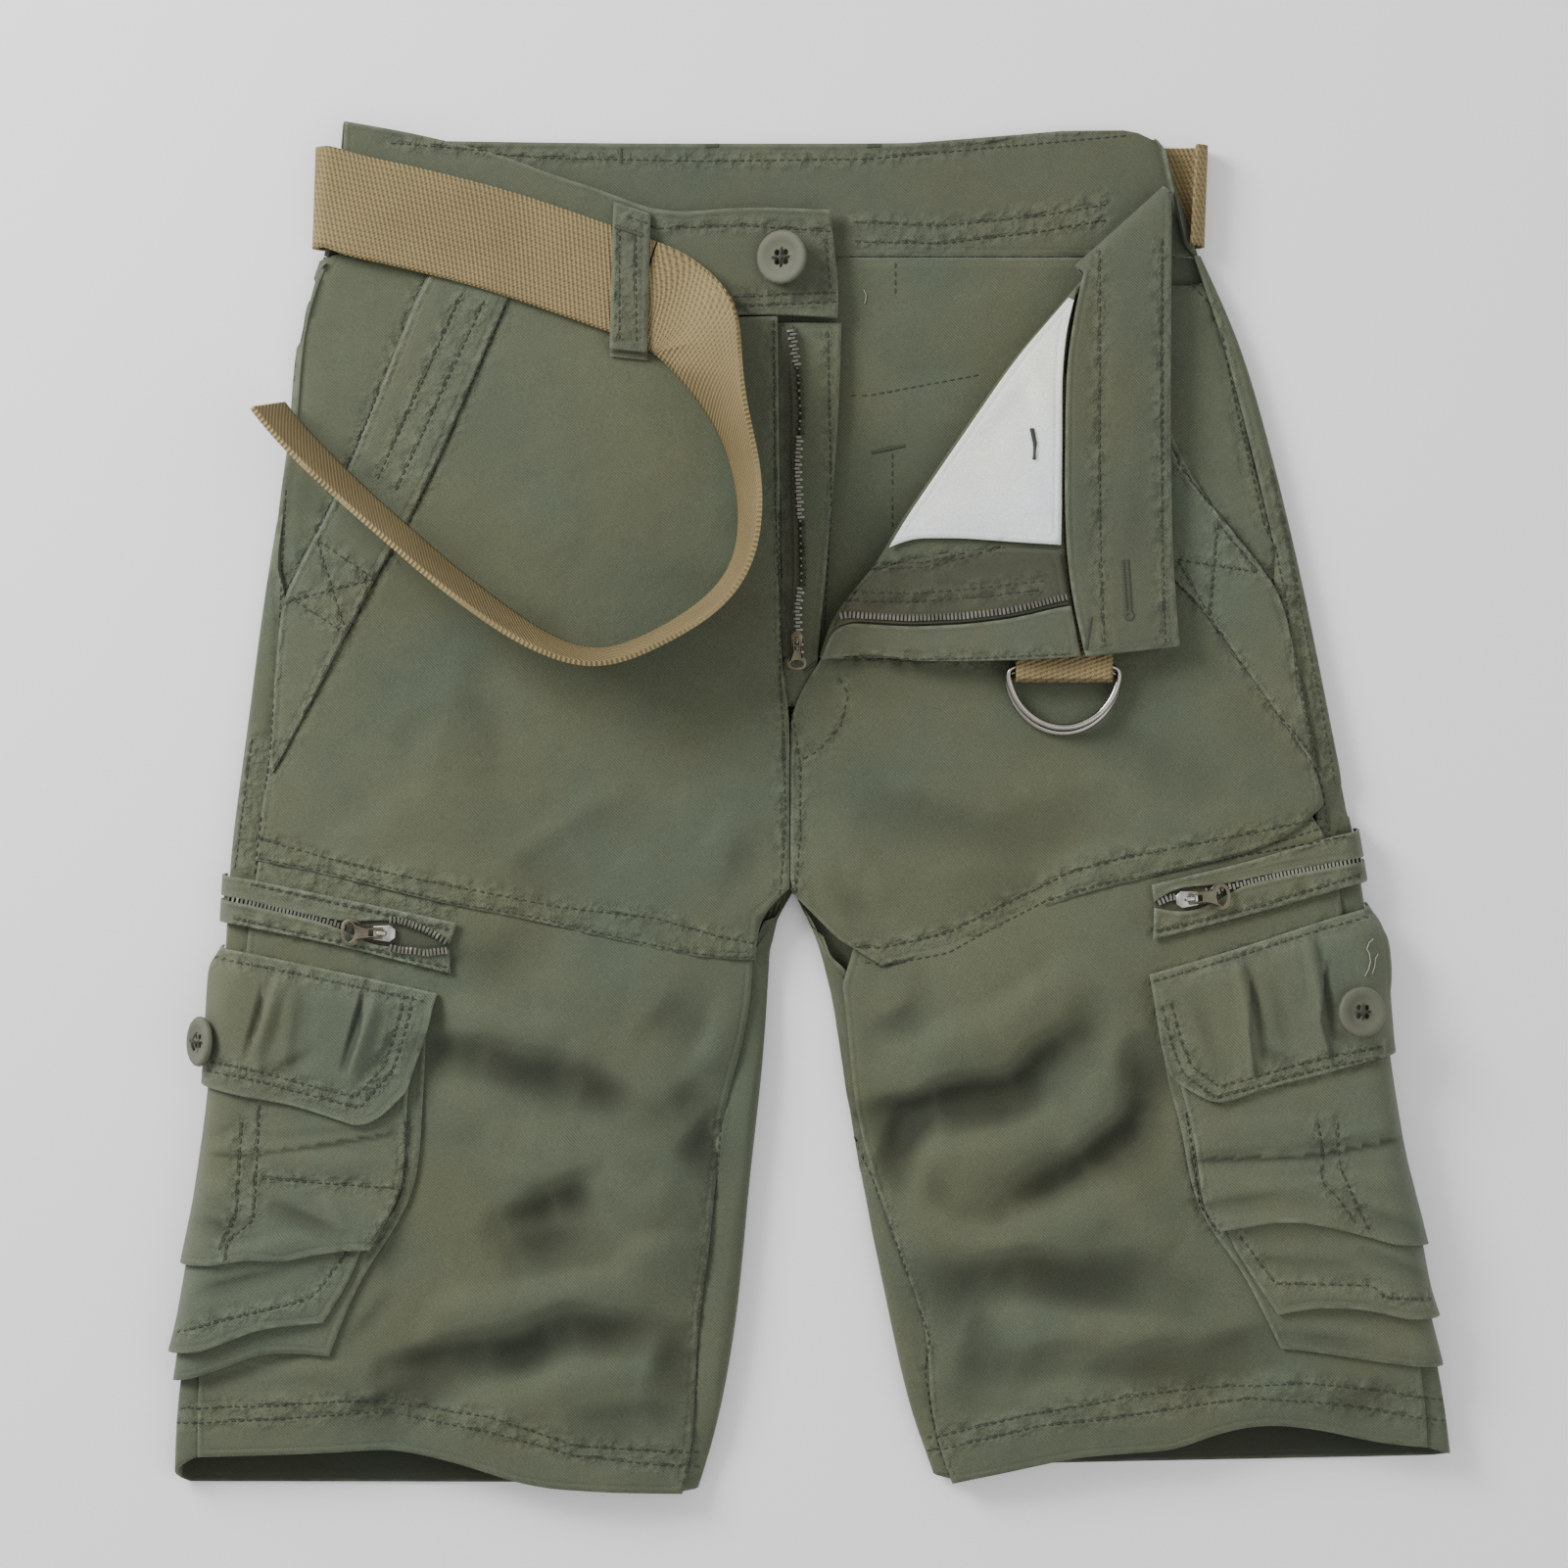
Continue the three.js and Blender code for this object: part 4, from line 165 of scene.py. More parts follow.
# Stitch rows, as points in millimetres
LEG_STITCHES = {
    "hem right upper": [(-259.6, -242.6), (-186, -239), (-171.6, -240.2), (-130.4, -245),
        (-96, -257.4), (-45.2, -261)],
    "hem right lower": [(-258.8, -248.6), (-186, -244.2), (-171.6, -243.8), (-130.4, -251.4),
        (-96, -261.4), (-45.2, -267)],
    "hem left upper": [(46, -255.4), (84.8, -245), (126, -237.4), (158.8, -233.8),
        (198.4, -231.4), (230.4, -235), (256.4, -239.4)],
    "hem left lower": [(46, -261), (91.6, -249), (120.4, -245.8), (157.2, -240.6),
        (177.2, -237.4), (203.2, -239.4), (230.4, -243.4), (257.2, -247.8)],
    "yoke right upper": [(-225.2, -11.4), (-183.6, -23), (-138.4, -32.2), (-104.8, -39),
        (-63.6, -43.8), (-35.6, -51.8), (-22.8, -54.2)],
    "yoke right lower": [(-225.2, -19.4), (-194.8, -25.4), (-144.4, -37.8), (-116, -42.6),
        (-83.6, -50.2), (-55.6, -56.6), (-35.6, -59.8), (-22.8, -59.8)],
    "yoke left upper": [(16.4, -55.4), (28.4, -55.8), (54.8, -49.8), (81.6, -36.6),
        (102.8, -25.8), (124, -19.8), (161.2, -12.6), (207.6, -3.4)],
    "yoke left lower": [(20.4, -61.8), (28.4, -63), (54.8, -57.8), (74.8, -47), (94.8, -36.6),
        (121.2, -29), (137.2, -26.6), (174.4, -17.8), (208.8, -6.6)],
    "centre right": [(-13.2, 130.6), (-12.8, 52.2), (-11.6, 29.4), (-10.8, -4.2), (-12.4, -26.6),
        (-13.2, -35.4)],
    "centre left": [(-8.8, 43), (-4.8, 18.2), (-4.8, -9.8), (-6.8, -34.2)],
    "fly curve": [(10.4, 54.2), (14.8, 46.6), (11.2, 33), (2.4, 23.8), (-4.4, 20.2)],
    "inseam right": [(-36.8, -124.6), (-38.8, -152.2), (-42, -179.4), (-45.6, -203),
        (-46.8, -234.6), (-49.2, -262.2), (-52.4, -274.2)],
    "inseam left": [(16.8, -132.6), (24.4, -149.4), (38, -186.6), (47.6, -214.2), (45.6, -227.8),
        (48.4, -245.8), (51.6, -259.4), (56, -271.4)],
    "side right": [(-214, 130.6), (-215.6, 91.4), (-217.2, 63.4), (-219.6, 23.8), (-222.8, 1.4),
        (-226, -26.6)],
    "side right outer": [(-227.2, 29.4), (-230.8, 1.4), (-234, -24.2)],
    "side left": [(154, 214.2), (161.6, 205.4), (167.2, 189.4), (172.8, 161.4), (178.4, 138.6),
        (184, 114.6), (187.6, 108.2), (192.4, 85.4), (196.8, 53.8), (203.6, 19.4), (207.6, 7.4),
        (210, -12.6)],
    "side left outer": [(186.4, 138.6), (194, 105.4), (199.6, 75), (206, 45.8), (212, 11.4)],
    "slant right edge": [(-157.6, 215.4), (-187.6, 140.2), (-193.6, 126.2), (-215.6, 85.8)],
    "slant right second": [(-141.6, 210.2), (-176.4, 133.4)],
    "slant right third": [(-132.8, 207), (-168.8, 129)],
    "slant right inner": [(-124, 204.6), (-156.4, 130.6), (-167.6, 107), (-177.2, 93.4),
        (-189.2, 70.2), (-202.4, 44.2), (-218.4, 15)],
    "slant right cross": [(-200.8, 109.4), (-188.4, 71)],
    "slant right cross back": [(-177.2, 93.4), (-210, 85)],
    "slant right box top": [(-200.8, 109.4), (-177.2, 93.4)],
    "slant right box foot": [(-210, 85), (-188.4, 71)],
    "slant left edge": [(144.4, 150.2), (149.6, 138.6), (169.6, 114.6), (190.8, 88.2)],
    "slant left inner": [(147.6, 92.2), (161.2, 78.2), (174.4, 59), (189.6, 37.8), (204.8, 19.4)],
    "slant left cross": [(164.4, 116.2), (161.2, 78.2)],
    "slant left cross back": [(180.8, 96.2), (148, 101.4)],
    "slant left box top": [(164.4, 116.2), (180.8, 96.2)],
    "slant left box foot": [(148, 101.4), (161.2, 78.2)],
}
WAIST_STITCHES = {
    "back top": [(-171.6, 270.6), (-107.6, 265.4), (-43.6, 264.2), (22.4, 265), (84.4, 270.6),
        (128.4, 274.6)],
    "back middle": [(16.4, 239.4), (52.4, 237.8), (92.4, 241.8), (120.4, 246.6)],
    "back foot": [(17.2, 231.4), (52.4, 230.6), (92.4, 235.4), (120.4, 240.2)],
    "front top": [(-75.6, 240.2), (-62.8, 235.8), (-27.6, 237), (8, 234.6)],
    "front foot": [(-63.6, 205.8), (-29.2, 208.2), (10.4, 209.8)],
    "front foot inner": [(-62.8, 202.6), (-29.2, 204.2), (10.4, 206.2)],
    "front end": [(5.6, 232.2), (7.6, 210.6)],
    "loop left": [(-78, 236.2), (-78, 189.8)],
    "loop right": [(-71.6, 235.4), (-71.2, 189)],
    "fly shield": [(6.4, 194.6), (8, 122.6), (5.2, 74.6)],
    "fly tape": [(-15.6, 198.6), (-14.8, 122.6), (-11.6, 54.6)],
    "inside seam": [(14.8, 169), (23.6, 169), (68.4, 177.4)],
    "inside vertical": [(32.8, 145.8), (32.8, 114.6)],
    "inside vertical 2": [(34, 223.4), (34, 209.8)],
    "strip seam": [(116, 226.6), (116, 122.6), (117.2, 66.6)],
    "strip edge": [(141.2, 230.6), (141.2, 122.6), (142, 66.6)],
    "facing": [(12.4, 61.8), (36.4, 60.6), (68.4, 61), (102, 62.4)],
    "bag seam": [(22.8, 97.4), (45, 98), (62, 102), (76.8, 106.6)],
    "bag seam second": [(24, 99.4), (45, 100), (62, 104)],
    "tape row": [(13, 84.6), (40, 84), (70, 86), (92, 88.6)],
    "tape row second": [(16, 88), (40, 87.4), (70, 89.6), (94, 92.4)],
}
CARGO_STITCHES = {
    "flap right foot": [(-244.8, -105), (-230.8, -107), (-182, -119.8), (-168.4, -104.6),
        (-161.6, -81.8), (-160.8, -74.2)],
    "flap right foot inner": [(-243.2, -101.4), (-230, -103.4), (-183.6, -115.4),
        (-171.6, -102.6), (-165.2, -81.8), (-164.4, -73.4)],
    "flap right head": [(-242.8, -59.4), (-215.6, -64.6), (-187.6, -70.6), (-155.6, -77.4)],
    "body right strip": [(-222.4, -118.2), (-224, -148.6), (-224.8, -164.6), (-235.2, -173.8),
        (-235.6, -181.8)],
    "body right strip outer": [(-229.6, -125.4), (-230.8, -147.8), (-231.6, -162.6),
        (-238.8, -177.4)],
    "body right edge": [(-163.6, -125.4), (-164.4, -151.4), (-169.6, -162.6), (-178, -175.8)],
    "body right seam": [(-222.4, -148.2), (-164.4, -152.6)],
    "lower right": [(-257.2, -211), (-229.2, -203.4), (-204, -197.4), (-199.6, -194.6),
        (-186.8, -177.4)],
    "zip right above": [(-226.8, -30.2), (-183.6, -39.8), (-146, -48.6)],
    "zip right below": [(-234, -43.8), (-199.6, -51.4), (-146.8, -63.8)],
    "flap left head": [(137.2, -69.4), (172.4, -59), (204.4, -48.6), (225.2, -43)],
    "flap left foot": [(140.4, -78.2), (144.4, -93.4), (149.2, -106.2), (162, -115.8),
        (184.4, -109.4), (208.4, -103), (228.4, -99.8)],
    "flap left foot inner": [(144.4, -77.4), (148, -91.4), (152.4, -103), (163.6, -111.4),
        (184.4, -105.4), (208.4, -99), (230, -95.4)],
    "body left strip": [(203.2, -125.4), (205.6, -138.2), (204.8, -149.4), (212.4, -157.4),
        (218.8, -166.6)],
    "body left strip outer": [(211.2, -125.4), (212.4, -143.8), (217.6, -155.8), (224, -169.4)],
    "body left edge": [(150.4, -121.4), (154, -141.4), (156, -159.4), (164.4, -171)],
    "lower left": [(172, -171.4), (186.4, -190.6), (203.2, -191), (225.2, -191.4),
        (230.4, -196.2), (250.8, -197.4)],
    "zip left above": [(137.2, -27.4), (172.4, -19), (216.4, -10.6)],
    "zip left below": [(138.8, -49.4), (180.4, -39), (222, -26.2)],
}

# Rows of teeth: points along the zip, and the side of the line that they stand on
TEETH = {
    "cargo zip right open edge": ([(-147, -53), (-156, -47.6), (-166, -44.2), (-171, -44)], 1),
    "cargo zip right lower edge": ([(-147, -57), (-156, -58), (-166, -56.8), (-171, -55.6)], -1),
    "cargo zip right closed": ([(-189, -47), (-203.6, -43.1), (-220, -39.4), (-236, -36)], 0),
    "cargo zip left closed": ([(157, -34), (171, -30.6), (190, -26), (222, -20.3)], 0),
    "cargo zip left open edge": ([(139.4, -38), (144, -36), (147, -35.6)], 1),
    "fly right": ([(-5.2, 63), (-6, 81), (-4.4, 93.4), (-4.8, 114.6), (-6, 139), (-4.8, 161.4),
                   (-6, 178.2), (-8.4, 195)], 0),
    "fly left": ([(0.5, 68.6), (5.6, 76.6), (14.4, 78.4), (26, 77.4), (40, 76.6), (60.4, 77.4),
                  (78, 79.4), (88, 81.4), (98.4, 84.2), (103, 85.2)], 1),
}

TACKS = {
    "fly foot": ((-3, 56), (3, 61)),
    "inside tack": ((24, 145.6), (38, 148.6)),
    "loop head right": ((-80, 236), (-68, 232)),
    "loop foot right": ((-79, 186), (-69, 185)),
    "back tack 1": ((-78, 263.4), (-78, 269.5)),
    "back tack 2": ((-43.6, 270.2), (-38, 270.6)),
    "back tack 3": ((22.4, 270.2), (28, 270.6)),
    "strip foot": ((109.6, 64), (112, 78)),
    "slant right foot": ((-216, 82), (-210, 86)),
    "slant left foot": ((190.6, 86), (192.6, 92)),
}


class ShortsCloth(bpy.types.PropertyGroup):
    """Colours and creases of the cloth"""

    twill: FloatVectorProperty(name="Twill", description="Colour of the main cloth",
                               subtype="COLOR", default=(0.085, 0.096, 0.062))
    band: FloatVectorProperty(name="Waistband", description="Colour of the waistband",
                              subtype="COLOR", default=(0.077, 0.086, 0.057))
    pocket: FloatVectorProperty(name="Pockets", description="Colour of the pockets",
                                subtype="COLOR", default=(0.090, 0.102, 0.068))
    lining: FloatVectorProperty(name="Lining", description="Colour of the pocket bag",
                                subtype="COLOR", default=(0.80, 0.87, 0.86))
    tape: FloatVectorProperty(name="Zip tape", description="Colour of the zip tapes",
                              subtype="COLOR", default=(0.060, 0.064, 0.042))
    crease: FloatProperty(name="Creases", description="Share of the creases' full height",
                          default=1.0, min=0.0, max=1.5)
    twill_pitch: FloatProperty(name="Twill pitch", description="Distance between twill lines",
                               default=0.0013, min=0.0004, max=0.003, unit="LENGTH")


class ShortsTrim(bpy.types.PropertyGroup):
    """Colours and sizes of the thread, belt and metal"""

    thread: FloatVectorProperty(name="Thread", description="Colour of the stitching",
                                subtype="COLOR", default=(0.030, 0.034, 0.022))
    webbing: FloatVectorProperty(name="Webbing", description="Colour of the belt",
                                 subtype="COLOR", default=(0.252, 0.196, 0.096))
    button: FloatVectorProperty(name="Buttons", description="Colour of the buttons",
                                subtype="COLOR", default=(0.105, 0.110, 0.078))
    stitch_pitch: FloatProperty(name="Stitch pitch", description="Distance from stitch to stitch",
                                default=0.0032, min=0.001, max=0.008, unit="LENGTH")
    stitch_width: FloatProperty(name="Thread width", description="Width of one stitch",
                                default=0.0007, min=0.0002, max=0.002, unit="LENGTH")


def cloth_settings():
    return bpy.context.scene.shorts_cloth


def trim_settings():
    return bpy.context.scene.shorts_trim


# Shading


def join(tree, start, end):
    tree.links.new(start, end)


def feed(tree, socket, value):
    if isinstance(value, bpy.types.NodeSocket):
        join(tree, value, socket)
    else:
        socket.default_value = value


def compute(tree, operation, *values):
    """The output of a Math node on these numbers or sockets"""
    node = tree.nodes.new("ShaderNodeMath")
    node.operation = operation
    for socket, value in zip(node.inputs, values):
        feed(tree, socket, value)
    return node.outputs[0]


def plus(tree, first, second):
    return compute(tree, "ADD", first, second)


def minus(tree, first, second):
    return compute(tree, "SUBTRACT", first, second)


def times(tree, first, second):
    return compute(tree, "MULTIPLY", first, second)


def shared(tree, first, second):
    return compute(tree, "DIVIDE", first, second)


def blend_colours(tree, share, first, second, mode="MIX"):
    node = tree.nodes.new("ShaderNodeMix")
    node.data_type = "RGBA"
    node.blend_type = mode
    feed(tree, node.inputs["Factor"], share)
    feed(tree, node.inputs["A"], first)
    feed(tree, node.inputs["B"], second)
    return node.outputs["Result"]


def remap(tree, value, low, high, new_low, new_high):
    node = tree.nodes.new("ShaderNodeMapRange")
    for name, number in (("From Min", low), ("From Max", high), ("To Min", new_low),
                         ("To Max", new_high)):
        node.inputs[name].default_value = number
    feed(tree, node.inputs["Value"], value)
    return node.outputs["Result"]


def speckle(tree, vector, scale, detail=3.0):
    node = tree.nodes.new("ShaderNodeTexNoise")
    node.inputs["Scale"].default_value = scale
    node.inputs["Detail"].default_value = detail
    if vector is not None:
        join(tree, vector, node.inputs["Vector"])
    return node.outputs["Fac"]


def effect(name, outputs, **inputs):
    """A node group with these named sockets, filled by the function below it only once

    An input's value is a number, or None for a vector.
    """
    def wrap(fill):
        def find_or_make():
            found = bpy.data.node_groups.get(name)
            if found:
                return found
            tree = bpy.data.node_groups.new(name, "ShaderNodeTree")
            for label, value in inputs.items():
                kind = "NodeSocketVector" if value is None else "NodeSocketFloat"
                socket = tree.interface.new_socket(name=label, in_out="INPUT", socket_type=kind)
                if value is not None:
                    socket.default_value = value
            for label in outputs:
                tree.interface.new_socket(name=label, in_out="OUTPUT",
                                          socket_type="NodeSocketFloat")
            fill(tree, tree.nodes.new("NodeGroupInput").outputs,
                 tree.nodes.new("NodeGroupOutput").inputs)
            return tree
        return find_or_make
    return wrap


@effect("Twill weave", ("Height", "Tone"), Vector=None, Pitch=0.0011)
def twill_effect(tree, given, made):
    """Diagonal ribs of twill, crossed by finer threads"""
    split = tree.nodes.new("ShaderNodeSeparateXYZ")
    join(tree, given["Vector"], split.inputs[0])
    across = plus(tree, split.outputs["X"], split.outputs["Y"])
    waver = times(tree, speckle(tree, given["Vector"], 260.0, 2.0), 0.0005)
    across = plus(tree, across, waver)
    turns = times(tree, shared(tree, across, given["Pitch"]), 2 * math.pi)
    crossing = minus(tree, split.outputs["X"], times(tree, split.outputs["Y"], 0.55))
    crossing = times(tree, shared(tree, crossing, given["Pitch"]), 4.4 * math.pi)
    threads = times(tree, compute(tree, "SINE", crossing), 0.35)
    height = plus(tree, compute(tree, "SINE", turns), threads)
    join(tree, height, made["Height"])
    join(tree, remap(tree, height, -1.3, 1.3, 0.0, 1.0), made["Tone"])


@effect("Washed cloth and crease shade", ("Fade", "Grain"), Vector=None, Fold=0.5)
def wash_and_crease_shade_effect(tree, given, made):
    """Uneven fading of washed cloth, in large and small patches, half mixed with painted light and
    shade from the creases
    """
    large = speckle(tree, given["Vector"], 13.0, 4.0)
    small = speckle(tree, given["Vector"], 90.0, 4.0)
    fade = plus(tree, times(tree, large, 0.6), times(tree, small, 0.4))
    fade = remap(tree, fade, 0.34, 0.66, 0.0, 1.0)
    # Half of this is painted light and shade from the creases' height
    fade = plus(tree, times(tree, fade, 0.5), times(tree, given["Fold"], 0.5))
    join(tree, fade, made["Fade"])
    join(tree, speckle(tree, given["Vector"], 1400.0, 2.0), made["Grain"])


@effect("Worn edge", ("Wear", "Dip"), Distance=5.0, Width=1.6, Vector=None)
def worn_edge_effect(tree, given, made):
    """Paler, rubbed cloth along an edge, broken up unevenly"""
    rub = minus(tree, 1.0, shared(tree, given["Distance"], given["Width"]))
    rub = compute(tree, "MAXIMUM", rub, 0.0)
    patches = remap(tree, speckle(tree, given["Vector"], 170.0, 3.0), 0.3, 0.62, 0.15, 1.0)
    join(tree, times(tree, rub, patches), made["Wear"])
    beside = minus(tree, given["Distance"], times(tree, given["Width"], 1.7))
    dip = compute(tree, "ABSOLUTE", beside)
    dip = compute(tree, "MAXIMUM", remap(tree, dip, 0.0, 1.2, 1.0, 0.0), 0.0)
    join(tree, dip, made["Dip"])


@effect("Stitched seam", ("Height", "Tone"), Distance=30.0, Vector=None)
def seam_effect(tree, given, made):
    """Puckers and a rubbed ridge beside a row of stitches, which lies in a groove. Its tone is
    painted light and shade following the puckers' height, paler rubbed cloth near the stitches, and
    painted shade in the groove
    """
    near = compute(tree, "MAXIMUM", remap(tree, given["Distance"], 0.0, 7.5, 1.0, 0.0), 0.0)
    near = compute(tree, "POWER", near, 1.7)
    groove = compute(tree, "MAXIMUM", remap(tree, given["Distance"], 0.0, 1.1, 1.0, 0.0), 0.0)
    puckers = remap(tree, speckle(tree, given["Vector"], 210.0, 3.0), 0.35, 0.65, -1.0, 1.0)
    puckers = times(tree, puckers, near)
    join(tree, minus(tree, puckers, times(tree, groove, 1.2)), made["Height"])
    # Painted light and shade on the puckers, paler rubbed cloth near the stitches, painted shade in
    # the groove
    tone = plus(tree, 1.0, times(tree, puckers, 0.24))
    tone = plus(tree, tone, times(tree, near, 0.10))
    tone = minus(tree, tone, times(tree, groove, 0.36))
    join(tree, tone, made["Tone"])


def place_effect(tree, group, **values):
    """A shared effect set into a material, with its own values"""
    node = tree.nodes.new("ShaderNodeGroup")
    node.node_tree = group
    for name, value in values.items():
        feed(tree, node.inputs[name], value)
    return node


def attribute(tree, name):
    node = tree.nodes.new("ShaderNodeAttribute")
    node.attribute_name = name
    return node.outputs["Fac"]


def bump(tree, height, strength, distance, normal=None):
    node = tree.nodes.new("ShaderNodeBump")
    node.inputs["Strength"].default_value = strength
    node.inputs["Distance"].default_value = distance
    join(tree, height, node.inputs["Height"])
    if normal is not None:
        join(tree, normal, node.inputs["Normal"])
    return node.outputs["Normal"]


def made_once(finish):
    """Make each named finish only once, and give the same material after that"""
    def find_or_make(name, *values, **options):
        found = bpy.data.materials.get("finish " + name)
        if found:
            return found
        material = bpy.data.materials.new("finish " + name)
        material.use_nodes = True
        tree = material.node_tree
        place = tree.nodes.new("ShaderNodeTexCoord").outputs["Object"]
        finish(tree, place, tree.nodes["Principled BSDF"].inputs, *values, **options)
        return material
    return find_or_make


# Length and width of one knot of the webbing, in millimetres
KNOT_LENGTH, KNOT_WIDTH = 1.9, 2.2


def tint(colour, share, lift=0.0):
    """A colour made darker or paler, with its alpha"""
    return tuple(min(part * share + lift, 1.0) for part in colour) + (1.0,)


def set_values(inputs, **values):
    """Set plain values on a shader's own sockets"""
    for name, value in values.items():
        inputs[name.replace("_", " ")].default_value = value


@made_once
def cloth_material(tree, place, inputs, colour, pitch, weave_depth=0.4, wear=0.5):
    """Washed twill: ribs, uneven fading, painted light on crease ridges and painted shade in crease
    troughs, and rubbed edges
    """
    weave = place_effect(tree, twill_effect(), Vector=place, Pitch=pitch)
    wash_and_crease_shade = place_effect(tree, wash_and_crease_shade_effect(), Vector=place, Fold=attribute(tree, "crease_light_and_shade"))
    worn = place_effect(tree, worn_edge_effect(), Vector=place, Distance=attribute(tree, "rim"))
    seam = place_effect(tree, seam_effect(), Vector=place, Distance=attribute(tree, "stitch"))
    red, green, blue = colour
    warm = (red * 1.16, green * 1.06, blue * 0.86, 1.0)
    cool = (red * 0.86, green * 0.98, blue * 1.02, 1.0)
    hue = remap(tree, speckle(tree, place, 17.0, 4.0), 0.36, 0.64, 0.0, 1.0)
    # The dark and pale ends are mixed by uneven fading together with painted crease light and shade
    shade = blend_colours(tree, wash_and_crease_shade.outputs["Fade"], tint(colour, 0.66), tint(colour, 1.44, 0.006))
    shade = blend_colours(tree, 0.6, shade, blend_colours(tree, hue, cool, warm))
    shade = blend_colours(tree, 0.2, shade, tint(colour, 1.0))
    tone = times(tree, remap(tree, weave.outputs["Tone"], 0.0, 1.0, 0.76, 1.16),
                 remap(tree, wash_and_crease_shade.outputs["Grain"], 0.3, 0.7, 0.86, 1.14))
    # Painted shade in crease troughs, in the hollows beyond tucks and inside the leg ends
    tone = times(tree, tone, remap(tree, attribute(tree, "crease_light_and_shade"), 0.05, 0.5, 0.42, 1.0))
    # The seam's tone holds painted shade in its groove and painted light and shade on its puckers
    tone = times(tree, tone, seam.outputs["Tone"])
    shade = blend_colours(tree, 1.0, shade, tone, "MULTIPLY")
    shade = blend_colours(tree, times(tree, worn.outputs["Wear"], wear), shade,
                          tint(colour, 1.9, 0.03))
    join(tree, shade, inputs["Base Color"])
    dents = minus(tree, speckle(tree, place, 120.0, 3.0), times(tree, worn.outputs["Dip"], 0.5))
    normal = bump(tree, dents, 0.5, 0.0009)
    normal = bump(tree, seam.outputs["Height"], 0.9, 0.0009, normal)
    normal = bump(tree, weave.outputs["Height"], weave_depth, 0.00016, normal)
    join(tree, normal, inputs["Normal"])
    set_values(inputs, Roughness=0.88, Specular_IOR_Level=0.22, Sheen_Weight=0.12,
               Sheen_Roughness=0.5)


@made_once
def webbing_material(tree, place, inputs, colour):
    """Coarse webbing: short slanted threads in rows along the strap"""
    along = times(tree, attribute(tree, "along"), 2 * math.pi / KNOT_LENGTH)
    across = times(tree, attribute(tree, "across"), 2 * math.pi / KNOT_WIDTH)
    slant = compute(tree, "SINE", plus(tree, along, times(tree, across, 0.5)))
    rows = compute(tree, "SINE", across)
    knots = times(tree, slant, compute(tree, "ABSOLUTE", rows))
    knots = plus(tree, knots, times(tree, rows, 0.35))
    grain = speckle(tree, place, 1500.0, 2.0)
    height = plus(tree, knots, times(tree, grain, 0.6))
    shade = blend_colours(tree, remap(tree, height, -0.9, 1.5, 0.0, 1.0), tint(colour, 0.55),
                          tint(colour, 1.3))
    patches = remap(tree, speckle(tree, place, 30.0, 3.0), 0.3, 0.7, 0.9, 1.1)
    join(tree, blend_colours(tree, 1.0, shade, patches, "MULTIPLY"), inputs["Base Color"])
    join(tree, bump(tree, height, 0.75, 0.0005), inputs["Normal"])
    set_values(inputs, Roughness=0.85, Specular_IOR_Level=0.2)


@made_once
def thread_material(tree, place, inputs, colour):
    """Twisted thread with fine fibres"""
    fibres = speckle(tree, place, 1800.0, 2.0)
    shade = blend_colours(tree, fibres, tint(colour, 0.7), tint(colour, 1.35))
    join(tree, shade, inputs["Base Color"])
    join(tree, bump(tree, fibres, 0.4, 0.0002), inputs["Normal"])
    set_values(inputs, Roughness=0.7)


@made_once
def metal_material(tree, place, inputs, colour, roughness, scratches=0.25):
    """Metal with fine scratches and duller patches"""
    patches = speckle(tree, place, 240.0, 4.0)
    shade = blend_colours(tree, patches, tint(colour, 0.72), tint(colour, 1.15))
    join(tree, shade, inputs["Base Color"])
    join(tree, remap(tree, patches, 0.3, 0.7, roughness * 0.8, roughness * 1.5),
         inputs["Roughness"])
    join(tree, bump(tree, speckle(tree, place, 900.0, 3.0), scratches, 0.0001), inputs["Normal"])
    set_values(inputs, Metallic=1.0)


@made_once
def button_material(tree, place, inputs, colour):
    """Dull plastic, slightly clouded"""
    clouds = speckle(tree, place, 160.0, 4.0)
    shade = blend_colours(tree, clouds, tint(colour, 0.85), tint(colour, 1.2))
    join(tree, shade, inputs["Base Color"])
    join(tree, remap(tree, clouds, 0.3, 0.7, 0.5, 0.68), inputs["Roughness"])
    join(tree, bump(tree, speckle(tree, place, 700.0, 2.0), 0.12, 0.0001), inputs["Normal"])
    set_values(inputs, Specular_IOR_Level=0.22)


# Shapes


# A crease is steep on the side that this plan direction points to, and eases out on the other
LIT_SIDE = (-0.55, 0.83)
CREASE_SKEW = 0.42


def crease_height(x, y, rows, wider=1.0, deeper=1.0):
    """Height in millimetres of the creases over plan points"""
    height = np.zeros_like(x)
    for ax, ay, bx, by, width, depth in rows:
        width, depth = width * wider, depth * deeper
        dx, dy = bx - ax, by - ay
        share = ((x - ax) * dx + (y - ay) * dy) / (dx * dx + dy * dy)
        held = np.clip(share, 0.0, 1.0)
        distance = np.hypot(x - ax - held * dx, y - ay - held * dy)
        lit = (x - ax - held * dx) * LIT_SIDE[0] + (y - ay - held * dy) * LIT_SIDE[1]
        lean = np.clip(lit / np.maximum(distance, 1e-6), -1.0, 1.0)
        distance = distance * (1.0 + CREASE_SKEW * lean)
        near = distance < width
        bell = (1.0 - (distance[near] / width) ** 2) ** 2
        taper = 0.45 + 0.55 * np.sin(np.pi * held[near])
        height[near] += depth * bell * taper
    return height


